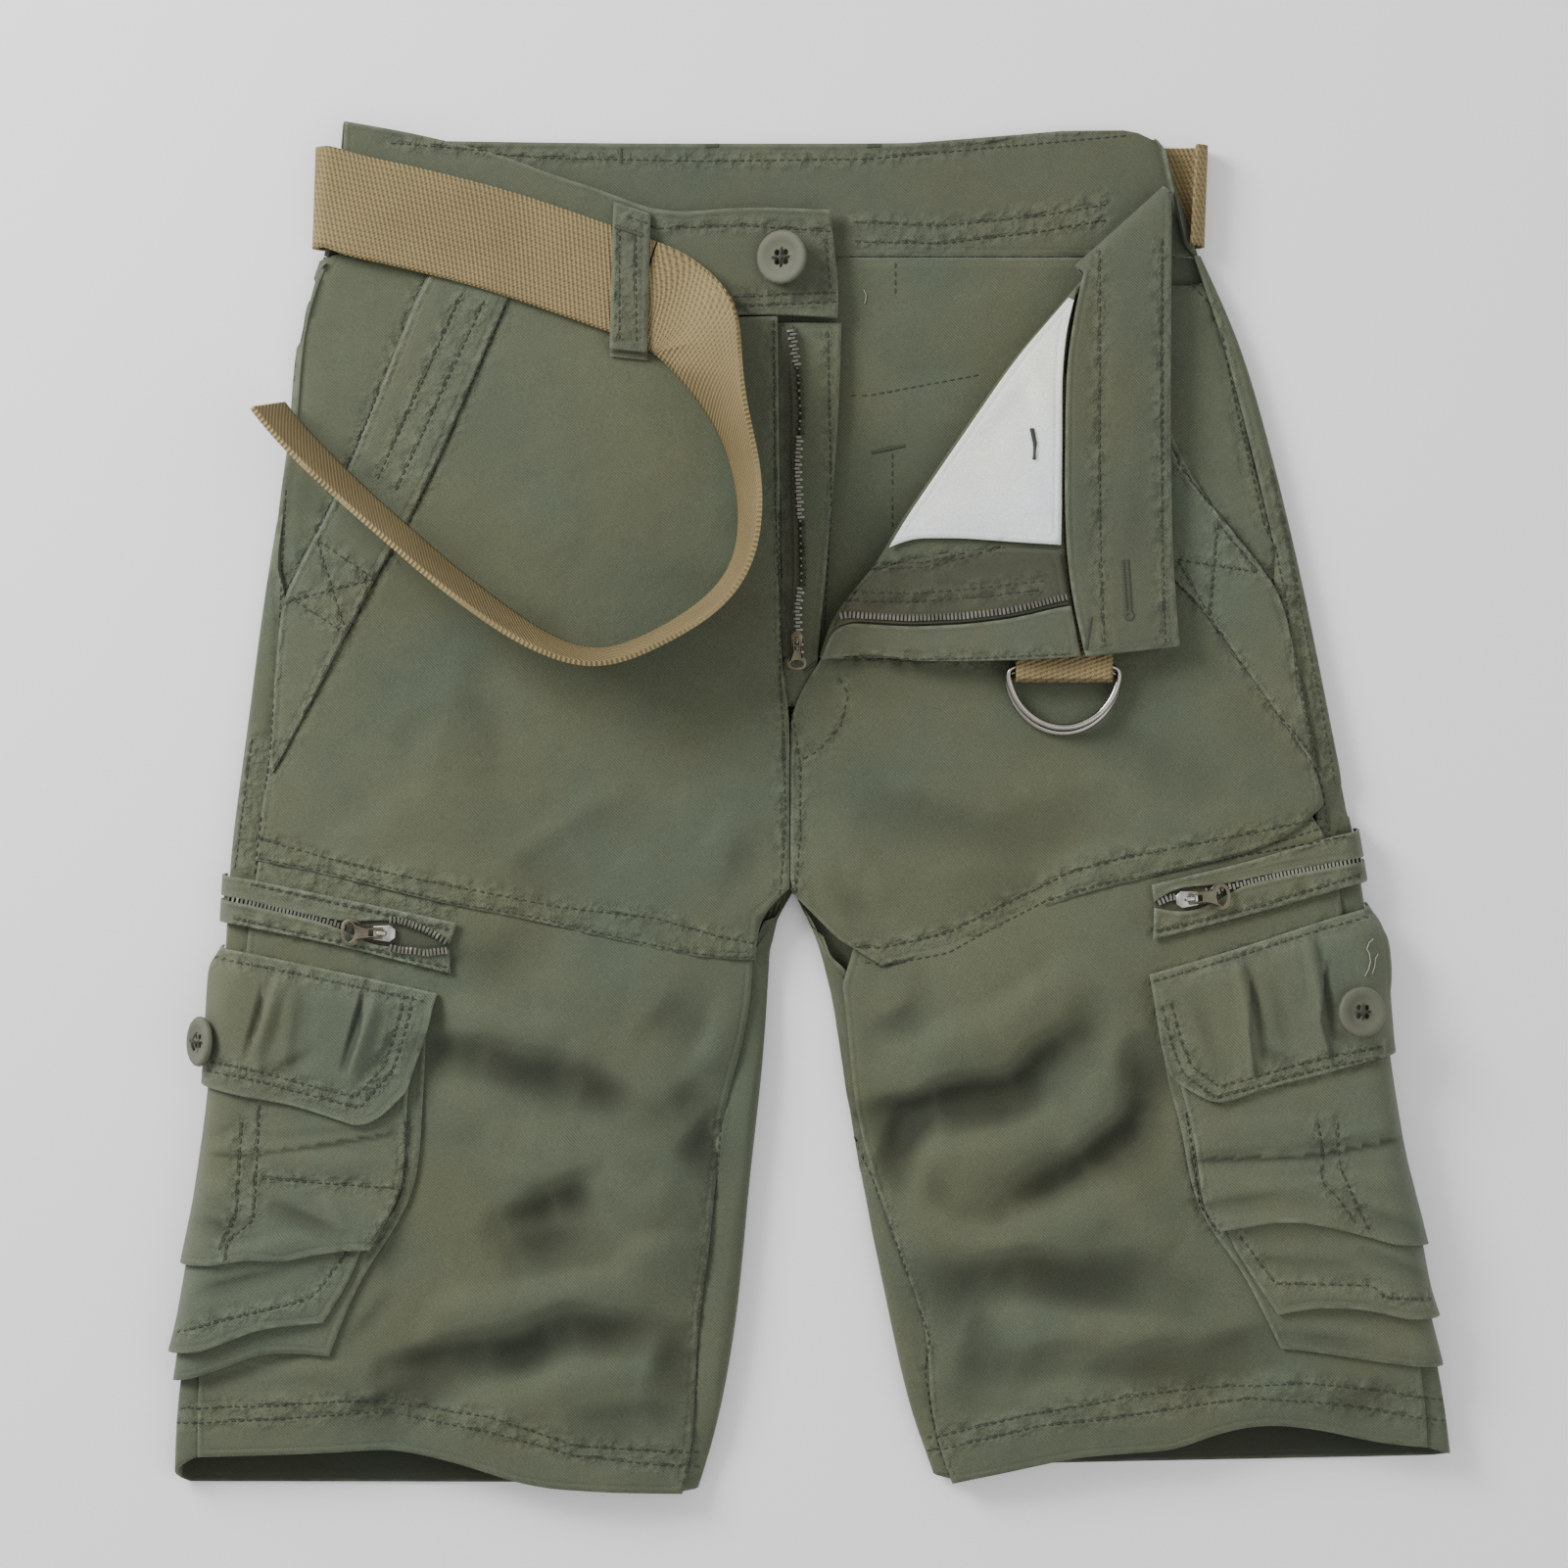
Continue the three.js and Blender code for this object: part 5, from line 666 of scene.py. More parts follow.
def along_line(x, y, line, overrun=0.0):
    """Each point's distance from a broken line, place along it and distance to its left"""
    nearest = np.full(len(x), 1e9)
    along = np.zeros(len(x))
    left = np.zeros(len(x))
    travelled = 0.0
    for k, ((ax, ay), (bx, by)) in enumerate(zip(line, line[1:])):
        length = math.hypot(bx - ax, by - ay)
        ux, uy = (bx - ax) / length, (by - ay) / length
        first = -overrun if k == 0 else 0.0
        last = length + overrun if k == len(line) - 2 else length
        held = np.clip((x - ax) * ux + (y - ay) * uy, first, last)
        distance = np.hypot(x - ax - held * ux, y - ay - held * uy)
        nearer = distance < nearest
        nearest[nearer] = distance[nearer]
        along[nearer] = travelled + held[nearer]
        left[nearer] = ((y - ay) * ux - (x - ax) * uy)[nearer]
        travelled += length
    return nearest, along, left, travelled


# Width of a tuck's sharp side, how far its height takes to rise at its ends, and how far the
# painted shade in the hollow beyond it reaches, in millimetres
TUCK_DROP, TUCK_END, TUCK_HOLLOW = 1.3, 7.0, 2.6


def tuck_height(x, y):
    """Height in millimetres of the tucks, which rise slowly to the line and drop sharply beyond
    it, and the share of painted shade in the hollow beyond, from 0 to 1"""
    height, shade = np.zeros_like(x), np.zeros_like(x)
    for line, width, depth, side in TUCKS:
        nearest, along, left, length = along_line(x, y, line)
        ends = np.clip(np.minimum(along, length - along) / TUCK_END, 0.0, 1.0)
        reach = np.where(left * side > 0.0, TUCK_DROP, width)
        height += depth * ends * np.clip(1.0 - nearest / reach, 0.0, 1.0) ** 1.4
        # Painted shade in the hollow beyond the sharp side
        hollow = np.where(left * side > 0.0, np.clip(1.0 - nearest / TUCK_HOLLOW, 0.0, 1.0), 0.0)
        shade = np.maximum(shade, hollow * ends)
    return height, shade


def chained(rows, step):
    """Points along broken lines, with their directions, every step millimetres"""
    points, directions = [], []
    for row in rows:
        for (ax, ay), (bx, by) in zip(row, row[1:]):
            length = math.hypot(bx - ax, by - ay)
            count = max(int(length / step), 1)
            for k in range(count):
                share = (k + 0.5) / count
                points.append((ax + (bx - ax) * share, ay + (by - ay) * share))
                directions.append(((bx - ax) / length, (by - ay) / length))
    return np.array(points), np.array(directions)


def point_tree(points):
    tree = kdtree.KDTree(max(len(points), 1))
    for k, point in enumerate(points):
        tree.insert(point, k)
    tree.balance()
    return tree


ALL_ROWS = [*LEG_STITCHES.values(), *WAIST_STITCHES.values(), *CARGO_STITCHES.values()]
# Every stitched line, as points to search, and how far its puckers reach in millimetres
SEAMS = point_tree([(x, y, 0.0) for x, y in chained(ALL_ROWS, 2.0)[0]])
SEAM_REACH = 7.0
# The level above the floor that the front layers start at, and the distance stored for points
# beneath it
FRONT_LEVEL = 4.0
FAR_FROM_SEAM = 30.0
# The three noises of rumpled cloth: how tight each is, its seed and its height in millimetres, and
# how far the cloth is drawn down along a seam
WAVE = (0.035, 3.7, 0.55)
FINE = (0.1, 9.1, 0.18)
RIPPLE = (0.19, 5.3, 0.75)
SEAM_DIP = 0.22
# Creases grow from nothing to their full height between these levels above the floor. Those on
# the inside of the back grow up to the first level below, and fade out between the next two.
CREASE_LEVELS = (5.0, 11.0)
INSIDE_RISE, INSIDE_FADE = 1.3, (2.9, 4.4)
# How far the waves sway the creases of the legs and hips, in plan
SWAY = (6.0, -4.0)


def seam_distance(x, y):
    return SEAMS.find((x, y, 0.0))[2]


def stitch_distance(coordinates):
    """How far each point of the front layers is from a row of stitches, in millimetres"""
    return np.array([seam_distance(x, y) if z > FRONT_LEVEL else FAR_FROM_SEAM
                     for x, y, z in coordinates / MM])


def level_share(value, low, high):
    """0 up to the low value, 1 from the high value, and evenly between them"""
    return np.clip((value - low) / (high - low), 0.0, 1.0)


def eased_share(share):
    """A share from 0 to 1, eased at both ends"""
    return share * share * (3.0 - 2.0 * share)


def rumple(coordinates):
    """How far each point of the front layers is raised, in millimetres"""
    x, y, z = (coordinates[:, k] / MM for k in range(3))
    pucker = np.zeros(len(x))
    sway = np.zeros(len(x))
    for k in range(len(x)):
        wave, fine = (noise.noise(Vector((x[k] * pitch, y[k] * pitch, seed)))
                      for pitch, seed, _ in (WAVE, FINE))
        sway[k] = wave
        pucker[k] = WAVE[2] * wave + FINE[2] * fine
        distance = seam_distance(x[k], y[k])
        if distance < SEAM_REACH:
            bell = (1.0 - (distance / SEAM_REACH) ** 2) ** 2
            pitch, seed, rise = RIPPLE
            ripple = noise.noise(Vector((x[k] * pitch, y[k] * pitch, seed)))
            pucker[k] += bell * (rise * ripple - SEAM_DIP)
    swayed = x + SWAY[0] * sway, y + SWAY[1] * sway
    height = tuck_height(x, y)[0]
    for name, (scale, rows) in CREASES.items():
        plan = swayed if name in SWAYED else (x, y)
        height += crease_height(*plan, rows, *scale)
    above = eased_share(level_share(z, *CREASE_LEVELS))
    inside = crease_height(x, y, INSIDE_CREASES) + 0.5 * np.abs(pucker)
    lifted = inside * level_share(z, 0.0, INSIDE_RISE) * (1.0 - level_share(z, *INSIDE_FADE))
    return (height + pucker) * above * cloth_settings().crease + lifted


def plain_mesh(node):
    """A CAD node's mesh with its points merged and its triangles paired"""
    mesh = bmesh.new()
    mesh.from_mesh(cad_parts[node].data)
    bmesh.ops.remove_doubles(mesh, verts=mesh.verts, dist=2e-6)
    bmesh.ops.join_triangles(mesh, faces=mesh.faces, angle_face_threshold=math.radians(35),
                             angle_shape_threshold=math.radians(75))
    return mesh


def placed_piece(name, mesh):
    """An object in the scene with this bmesh's shape"""
    data = bpy.data.meshes.new(name)
    mesh.to_mesh(data)
    mesh.free()
    piece = bpy.data.objects.new(name, data)
    bpy.context.scene.collection.objects.link(piece)
    return piece


def subdivide(piece, levels):
    modifier = piece.modifiers.new("smooth", "SUBSURF")
    modifier.levels = modifier.render_levels = levels
    return modifier


def keep_shape(piece):
    """Make the shape that the modifiers give the piece's own"""
    plain = piece.data
    shaped = bpy.data.meshes.new_from_object(
        piece.evaluated_get(bpy.context.evaluated_depsgraph_get()))
    piece.modifiers.clear()
    piece.data = shaped
    bpy.data.meshes.remove(plain)
    shaped.name = piece.name


# Edges sharper than this stay crisp, with a point every step along them to measure wear from
SHARP = math.radians(48)
RIM_STEP = 0.0015


def sharp_edges(mesh):
    return [edge for edge in mesh.edges
            if len(edge.link_faces) == 2 and edge.calc_face_angle(0.0) > SHARP]


def smooth_copy(name, node, levels, crease=1.0):
    """A subdivided copy of a CAD node, with points along its sharp edges"""
    mesh = plain_mesh(node)
    layer = mesh.edges.layers.float.new("crease_edge")
    rim = []
    for edge in sharp_edges(mesh):
        edge[layer] = crease
        first, last = (v.co for v in edge.verts)
        count = max(int((last - first).length / RIM_STEP), 1)
        rim.extend(first.lerp(last, k / count) for k in range(count + 1))
    piece = placed_piece(name, mesh)
    smooth = subdivide(piece, levels)
    smooth.use_limit_surface = False
    keep_shape(piece)
    return piece, rim


# How far an edge is carried beneath its neighbour and how far it sinks, the lowest point that is
# carried, and the least share of the way to the neighbour that lies sideways
TUCK_PUSH, TUCK_SINK = 2.6, 1.5
TUCK_LEVEL = 4.5
MOSTLY_SIDEWAYS = 0.6


def tuck_under(node, above, reach=7.5, near=1.2, spot=None):
    """Carry the edge of one dressed cloth under its neighbour's, so that the seam closes

    spot is a plan point and a radius in millimetres that the carrying stays within.
    """
    piece = bpy.data.objects["cloth_" + node]
    tree = surface_tree(["cloth_" + name for name in above])
    coordinates = points_of(piece)
    for k, point in enumerate(coordinates):
        if point[2] < TUCK_LEVEL * MM:
            continue
        place = Vector(point)
        hit, _, _, distance = tree.find_nearest(place, reach * MM)
        if hit is None:
            continue
        across = Vector((hit.x - place.x, hit.y - place.y, 0.0))
        if across.length < 1e-6 or across.length < MOSTLY_SIDEWAYS * distance:
            continue
        share = eased_share(min(max((reach - distance / MM) / (reach - near), 0.0), 1.0))
        if spot:
            away = math.hypot(place.x / MM - spot[0], place.y / MM - spot[1])
            share *= min(max(2.0 - 2.0 * away / spot[2], 0.0), 1.0)
        moved = place + across.normalized() * ((across.length + TUCK_PUSH * MM) * share)
        moved.z -= TUCK_SINK * MM * share
        coordinates[k] = moved
    store_points(piece, coordinates)


def points_of(piece):
    flat = np.empty(len(piece.data.vertices) * 3, np.float32)
    piece.data.vertices.foreach_get("co", flat)
    return flat.reshape(-1, 3).astype(float)


def store_points(piece, coordinates):
    piece.data.vertices.foreach_set("co", coordinates.astype(np.float32).ravel())
    piece.data.update()


def store_values(piece, name, values):
    layer = piece.data.attributes.new(name, "FLOAT", "POINT")
    layer.data.foreach_set("value", np.asarray(values, np.float32))


def finish_piece(piece, node, material, body="shorts"):
    piece.data.materials.clear()
    piece.data.materials.append(material)
    piece.data.polygons.foreach_set("use_smooth", [True] * len(piece.data.polygons))
    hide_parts(node)
    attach(piece, body)


def near_rim(coordinates, rim):
    """How far each point is from a sharp edge of its piece, in millimetres"""
    if not rim:
        return np.full(len(coordinates), FAR_FROM_RIM)
    tree = point_tree(rim)
    return np.array([tree.find(point)[2] / MM for point in coordinates])


# Distance from a sharp edge, in millimetres, stored where a piece has none
FAR_FROM_RIM = 20.0
# Height from the deepest trough to the highest ridge that the painted crease light and shade spans
FOLD_RANGE = 12.0
# How much painted shade darkens the crease tone in the hollow beyond a tuck
HOLLOW_SHADE = 0.42
# The inside of a leg end, seen past the hem, gets painted shade
INSIDE_LEVEL, LEG_END = 4.0, -236.0


def dress_cloth(node, material, levels=2):
    """One cut piece of cloth: smooth, creased, rubbed along its edges, and given painted light and
    shade from its creases
    """
    piece, rim = smooth_copy("cloth_" + node, node, levels)
    coordinates = points_of(piece)
    store_values(piece, "rim", near_rim(coordinates, rim))
    height = rumple(coordinates)
    shade = tuck_height(coordinates[:, 0] / MM, coordinates[:, 1] / MM)[1]
    # Painted light on crease ridges and painted shade in their troughs, with deeper painted shade
    # in the hollows beyond tucks
    crease_light_and_shade = np.clip(0.5 + height / FOLD_RANGE - HOLLOW_SHADE * shade, 0.0, 1.0)
    # Painted shade on the inside of the back legs, seen past the hem
    if node.startswith("back"):
        low = coordinates[:, 2] < INSIDE_LEVEL * MM
        crease_light_and_shade[low & (coordinates[:, 1] < LEG_END * MM)] = 0.0
    store_values(piece, "crease_light_and_shade", crease_light_and_shade)
    store_values(piece, "stitch", stitch_distance(coordinates))
    coordinates[:, 2] += height * MM
    store_points(piece, coordinates)
    finish_piece(piece, node, material)


def surface_tree(names):
    """A search tree over several pieces, for setting trim down on them"""
    points, faces = [], []
    for name in names:
        data = bpy.data.objects[name].data
        start = len(points)
        points.extend(vertex.co.copy() for vertex in data.vertices)
        faces.extend(tuple(start + k for k in face.vertices) for face in data.polygons)
    return BVHTree.FromPolygons(points, faces)


def seat(tree, x, y, top=0.09):
    hit, normal, _, _ = tree.ray_cast(Vector((x, y, top)), Vector((0, 0, -1)))
    if hit is None:
        return None, None
    if normal.z < 0:
        normal = -normal
    return hit, normal


# The rings of points that make one stitch: place along it, and share of its full width
RING_SHARES = ((-0.5, 0.45), (-0.3, 1.0), (0.3, 1.0), (0.5, 0.45))
RING_POINTS = 4
STITCH_DIP = 1.6
# Share of the pitch that a stitch shows for, its height above the cloth as a share of its width,
# and the least upward part of the cloth's direction that rows of stitches are laid on
STITCH_SHARE = 0.72
STITCH_SINK = 0.28
STEEPEST_STITCH = 0.15


def close_rings(faces, start, rings, sides):
    """Walls between rings of points, and a cap on each end"""
    last = start + (rings - 1) * sides
    for ring in range(start, last, sides):
        for turn in range(sides):
            a, b = ring + turn, ring + (turn + 1) % sides
            faces.append((a, b, b + sides, a + sides))
    faces.append(tuple(reversed(range(start, start + sides))))
    faces.append(tuple(range(last, last + sides)))


def dash(points, faces, centre, along, normal, length, radius):
    """One stitch: a short thread that dips at both ends"""
    across = normal.cross(along).normalized()
    start = len(points)
    for share, size in RING_SHARES:
        dip = abs(share) * radius * STITCH_DIP
        middle = centre + along * (share * length) - normal * dip
        for turn in range(RING_POINTS):
            angle = (turn + 0.5) * 2 * math.pi / RING_POINTS
            points.append(middle + across * (radius * size * math.cos(angle))
                          + normal * (radius * size * math.sin(angle)))
    close_rings(faces, start, len(RING_SHARES), RING_POINTS)


def made_piece(name, points, faces, material, smooth=True):
    """A piece of loose detail, such as stitches or teeth"""
    data = bpy.data.meshes.new(name)
    data.from_pydata(points, [], faces)
    data.validate()
    data.materials.append(material)
    data.polygons.foreach_set("use_smooth", [smooth] * len(data.polygons))
    piece = bpy.data.objects.new(name, data)
    bpy.context.scene.collection.objects.link(piece)
    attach(piece, "shorts")


def on_surface(direction, normal):
    """The direction along a surface that is nearest to a given one"""
    return (direction - normal * direction.dot(normal)).normalized()


def stitch_rows(name, rows, tree, material, pitch, width):
    """Rows of stitches set down on the cloth"""
    points, faces = [], []
    places, directions = chained(rows, pitch / MM)
    for (x, y), (dx, dy) in zip(places, directions):
        hit, normal = seat(tree, x * MM, y * MM)
        if hit is None or normal.z < STEEPEST_STITCH:
            continue
        along = on_surface(Vector((dx, dy, 0.0)), normal)
        dash(points, faces, hit + normal * width * STITCH_SINK, along, normal,
             pitch * STITCH_SHARE, width / 2)
    made_piece(name, points, faces, material)


# Width of the rounding on a hard piece's edges
BEVEL = 0.0003


def trim_only(node, name, material, body, levels=0, bevel=BEVEL):
    """A hard piece: the CAD node with soft edges"""
    piece = placed_piece(name, plain_mesh(node))
    if bevel:
        rounding = piece.modifiers.new("soft edges", "BEVEL")
        rounding.width = bevel
        rounding.segments = 2
        rounding.limit_method = "ANGLE"
        rounding.angle_limit = math.radians(40)
    if levels:
        subdivide(piece, levels)
    keep_shape(piece)
    finish_piece(piece, node, material, body)


# Belt, threads and zips


# Each stretch of the belt: its plan path, its lean from flat in degrees at each path point, and the
# height of its middle line in millimetres
STRAPS = {
    "belt_front": ([(-203, 248.4), (-186, 244.6), (-170, 241.4), (-155, 237.8), (-138, 233.6),
                    (-122, 228.9), (-104, 222.8), (-84, 215.8), (-63, 208.6)], (), 13),
    "belt_back": ([(-189, 248.6), (-90, 248.8), (30, 249), (120, 249.2), (161, 249.2)], (), 13),
    "belt_free_end": ([(-69.3, 210.5), (-62.5, 208.1), (-57, 204.4), (-49, 197), (-44.5, 188.5),
                       (-39, 174), (-32.5, 157.5), (-27, 140), (-24.5, 122), (-26, 104),
                       (-32.5, 90), (-44, 79), (-59, 70), (-75, 62.5), (-88, 60.5), (-101, 63.5),
                       (-117, 71.5), (-135, 84.5), (-151, 97), (-165, 109.5), (-179, 121.5),
                       (-194, 135.5), (-206, 147.5), (-213, 155.5), (-218, 162)],
                      (0, 0, 0, 14, 36, 58, 73, 76, 78), 35),
    "belt_ring_end": ([(120, 180), (118, 160), (115, 140), (110, 112), (105, 88), (102.5, 72),
                       (101.5, 52)], (), 16),
}


def eased(path, steps=6):
    """A smooth line of points through a path, and how far along it each path point lies"""
    line, stations = [], [0.0]
    for k in range(len(path) - 1):
        before, first = np.array(path[max(k - 1, 0)]), np.array(path[k])
        last, after = np.array(path[k + 1]), np.array(path[min(k + 2, len(path) - 1)])
        for step in range(steps):
            share = step / steps
            line.append(tuple(0.5 * (2 * first + (last - before) * share
                                     + (2 * before - 5 * first + 4 * last - after) * share ** 2
                                     + (3 * first - before - 3 * last + after) * share ** 3)))
    line.append(path[-1])
    travelled = 0.0
    for k, (first, last) in enumerate(zip(line, line[1:])):
        travelled += math.hypot(last[0] - first[0], last[1] - first[1])
        if (k + 1) % steps == 0:
            stations.append(travelled)
    return line, stations


# Height of the strap's middle where it lies flat on the front, how far its ends run past the path,
# and the height of its waves and the levels between which they grow, in millimetres
FRONT_STRAP_MIDDLE = 14.5
STRAP_OVERRUN = 30.0
STRAP_WAVE = 0.55
WAVE_LEVELS = (6.0, 12.0)


def strap_places(coordinates, path, lean, middle):
    """Distance along and across a strap for each of its points, in millimetres"""
    x, y, z = (coordinates[:, k] / MM for k in range(3))
    line, stations = eased(path)
    _, along, left, _ = along_line(x, y, line, STRAP_OVERRUN)
    tilts = list(lean) or [0]
    tilts += [tilts[-1]] * (len(path) - len(tilts))
    slant = np.radians(np.interp(along, stations, tilts))
    height = FRONT_STRAP_MIDDLE + (middle - FRONT_STRAP_MIDDLE) * np.sin(slant)
    across = left * np.cos(slant) + (z - height) * np.sin(slant)
    along += np.where(along < 0, z - middle, 0.0)
    return along, across


def dress_strap(node):
    """One stretch of webbing, slightly wavy"""
    piece, rim = smooth_copy("strap_" + node, node, 3, 0.9)
    coordinates = points_of(piece)
    path, lean, middle = STRAPS[node]
    along, across = strap_places(coordinates, path, lean, middle)
    store_values(piece, "along", along)
    store_values(piece, "across", across)
    wave = np.array([noise.noise(Vector((a * 0.03, c * 0.05, len(node))))
                     for a, c in zip(along, across)])
    above = level_share(coordinates[:, 2] / MM, *WAVE_LEVELS)
    coordinates[:, 2] += STRAP_WAVE * wave * above * MM
    store_points(piece, coordinates)
    finish_piece(piece, node, webbing_material("webbing", tuple(trim_settings().webbing)))


def tube(points, faces, path, radius, sides=6):
    """A thread along a path of points in metres"""
    start = len(points)
    for k, place in enumerate(path):
        before, after = path[max(k - 1, 0)], path[min(k + 1, len(path) - 1)]
        along = (after - before).normalized()
        across = along.orthogonal().normalized()
        lift = along.cross(across)
        for turn in range(sides):
            angle = 2 * math.pi * turn / sides
            points.append(place + across * radius * math.cos(angle)
                          + lift * radius * math.sin(angle))
    close_rings(faces, start, len(path), sides)


def laid_thread(tree, plan, lift, samples=10):
    """Points of a loose thread lying on the cloth, from a rough plan path"""
    path = []
    for (ax, ay), (bx, by) in zip(plan, plan[1:]):
        for k in range(samples):
            share = k / samples
            x, y = ax + (bx - ax) * share, ay + (by - ay) * share
            hit, normal = seat(tree, x * MM, y * MM)
            if hit is not None:
                path.append(hit + normal * lift)
    return path


# How high the stitches of a tack or a buttonhole lie on the cloth, in metres. Then, in
# millimetres, the width of their thread and the length of a stitch beside the slot and round
# its keyhole.
TRIM_LIFT = 0.0003
TACK_THREAD, HOLE_THREAD = 0.64, 0.6
HOLE_STITCH, KEYHOLE_STITCH = 1.5, 1.6


def lay_stitch(points, faces, tree, plan, direction, length, width):
    """One stitch of a tack or a buttonhole, on the cloth at a plan point in millimetres"""
    hit, normal = seat(tree, plan[0] * MM, plan[1] * MM)
    if hit is not None:
        dash(points, faces, hit + normal * TRIM_LIFT, on_surface(direction, normal), normal,
             length * MM, width * MM / 2)


def tack_bar(points, faces, tree, start, end, width, pitch=0.55):
    """A dense bar of short stitches across a line"""
    (ax, ay), (bx, by) = start, end
    length = math.hypot(bx - ax, by - ay)
    across = Vector((-(by - ay) / length, (bx - ax) / length, 0.0))
    for k in range(max(int(length / pitch), 2)):
        share = (k + 0.5) * pitch / length
        plan = (ax + (bx - ax) * share, ay + (by - ay) * share)
        lay_stitch(points, faces, tree, plan, across, width, TACK_THREAD)


def buttonhole(points, faces, tree, start, end, width, pitch=0.6):
    """Satin stitches along both sides of a long slot"""
    (ax, ay), (bx, by) = start, end
    length = math.hypot(bx - ax, by - ay)
    ux, uy = (bx - ax) / length, (by - ay) / length
    for side in (-1, 1):
        for k in range(int(length / pitch)):
            travelled = (k + 0.5) * pitch
            plan = (ax + ux * travelled - uy * side * width,
                    ay + uy * travelled + ux * side * width)
            lay_stitch(points, faces, tree, plan, Vector((-uy, ux, 0.0)), HOLE_STITCH,
                       HOLE_THREAD)


def keyhole(points, faces, tree, centre, radius, count=18):
    """Stitches fanned round the keyhole end of a buttonhole"""
    for k in range(count):
        angle = 2 * math.pi * k / count
        out = Vector((math.cos(angle), math.sin(angle), 0.0))
        plan = (centre[0] + out.x * radius, centre[1] + out.y * radius)
        lay_stitch(points, faces, tree, plan, out, KEYHOLE_STITCH, HOLE_THREAD)


def tooth(points, faces, centre, along, normal, reach, length, thickness):
    """One zip tooth: a short block, narrower at its head"""
    across = normal.cross(along).normalized()
    start = len(points)
    for out, size in ((-0.5, 1.0), (0.2, 1.0), (0.5, 0.6)):
        for up in (-0.5, 0.5):
            for side in (-0.5, 0.5):
                points.append(centre + across * (out * reach) + along * (side * length * size)
                              + normal * (up * thickness * size))
    for ring in (0, 4):
        a, b, c, d = (start + ring + k for k in range(4))
        faces.extend([(a, b, b + 4, a + 4), (b, d, d + 4, b + 4), (d, c, c + 4, d + 4),
                      (c, a, a + 4, c + 4)])
    faces.append((start, start + 2, start + 3, start + 1))
    faces.append((start + 8, start + 9, start + 11, start + 10))


# Distance from tooth to tooth in millimetres, a tooth's reach, length and thickness, how far it
# stands off the zip's line, and the least upward part of the tape's direction that teeth are set on
TOOTH_PITCH = 1.5
TOOTH_SIZE = (0.0028, 0.0010, 0.0014)
TOOTH_SLIP = 0.0005
STEEPEST_TOOTH = 0.2


def row_of_teeth(points, faces, tree, path, side):
    """Teeth along a zip: both sides meshed when side is 0, else one side only"""
    places, directions = chained([path], TOOTH_PITCH)
    for k, ((x, y), (dx, dy)) in enumerate(zip(places, directions)):
        hit, normal = seat(tree, x * MM, y * MM)
        if hit is None or normal.z < STEEPEST_TOOTH:
            continue
        along = on_surface(Vector((dx, dy, 0.0)), normal)
        across = normal.cross(along).normalized()
        turn = side if side else (1 if k % 2 else -1)
        reach, length, thickness = TOOTH_SIZE
        centre = hit + normal * (thickness / 2) + across * turn * TOOTH_SLIP
        tooth(points, faces, centre, along, normal, reach * turn, length, thickness)


# Crossed threads on a button: share of its radius that they span, half the gap between the two
# threads, how high they rise and how deep their ends go into the holes, and their radius
CROSS_SPAN = 0.25
CROSS_GAP = 0.0003
CROSS_RISE, CROSS_SINK, CROSS_SEAT = 0.0005, 0.0012, 0.0004
CROSS_THREAD = 0.00036
CROSS_STEPS = 8


def thread_cross(points, faces, button, radius):
    """Two crossed stitches over a button's four holes"""
    data = bpy.data.objects[button].data
    centre = sum((v.co for v in data.vertices), Vector()) / len(data.vertices)
    normal = Vector()
    for face in data.polygons:
        if face.normal.z > 0.5:
            normal += face.normal * face.area
    normal = normal.normalized()
    sideways = normal.orthogonal().normalized()
    other = normal.cross(sideways)
    top = max((v.co - centre).dot(normal) for v in data.vertices) - CROSS_SEAT
    for flip in (-1, 1):
        first, last = ((sideways + other * flip) * sign * radius * CROSS_SPAN for sign in (-1, 1))
        for slip in (-CROSS_GAP, CROSS_GAP):
            path = []
            for k in range(CROSS_STEPS + 1):
                arch = math.sin(math.pi * k / CROSS_STEPS)
                rise = top + arch * CROSS_RISE - (1 - arch) * CROSS_SINK
                path.append(centre + first.lerp(last, k / CROSS_STEPS) + normal * rise
                            + sideways * slip)
            tube(points, faces, path, CROSS_THREAD)


# Operators


# The pieces that each operator dresses: node, slot and how often its mesh is subdivided
CLOTH_PIECES = {
    "backs": (("back_right", "twill", 3), ("back_left", "twill", 3), ("hip_right", "twill", 2),
              ("hip_left", "twill", 2)),
    "waistband": (("waistband_back", "twill_band", 3), ("waistband_front_right", "twill_band", 3),
                  ("belt_loop", "twill_band", 2)),
    "fronts": (("front_lower_right", "twill", 3), ("front_lower_left", "twill", 3),
               ("front_upper_right", "twill", 3), ("front_upper_left", "twill", 3)),
    "slants": (("pocket_band_right", "twill_pocket", 3), ("pocket_band_left", "twill_pocket", 3)),
    "fly": (("fly_shield", "twill", 2), ("fly_tape_right", "zip_tape", 2),
            ("fly_tape_left", "zip_tape", 2), ("fly_facing_left", "twill_band", 2),
            ("waistband_front_left", "twill_band", 3), ("pocket_bag_left", "lining", 2)),
    "cargo": tuple((f"cargo_{part}_{side}", "twill_pocket", 3) for side in ("right", "left")
                   for part in ("gusset", "upper", "lower", "flap")),
    "zips": tuple((f"zip_{part}_{side}", slot, 3) for side in ("right", "left")
                  for part, slot in (("tape", "zip_tape"), ("welt_upper", "twill_pocket"),
                                     ("welt_lower", "twill_pocket"))),
}
BUTTON_RADII = {"waist_button": 0.011, "cargo_button_right": 0.0101,
                "cargo_button_left": 0.0101}
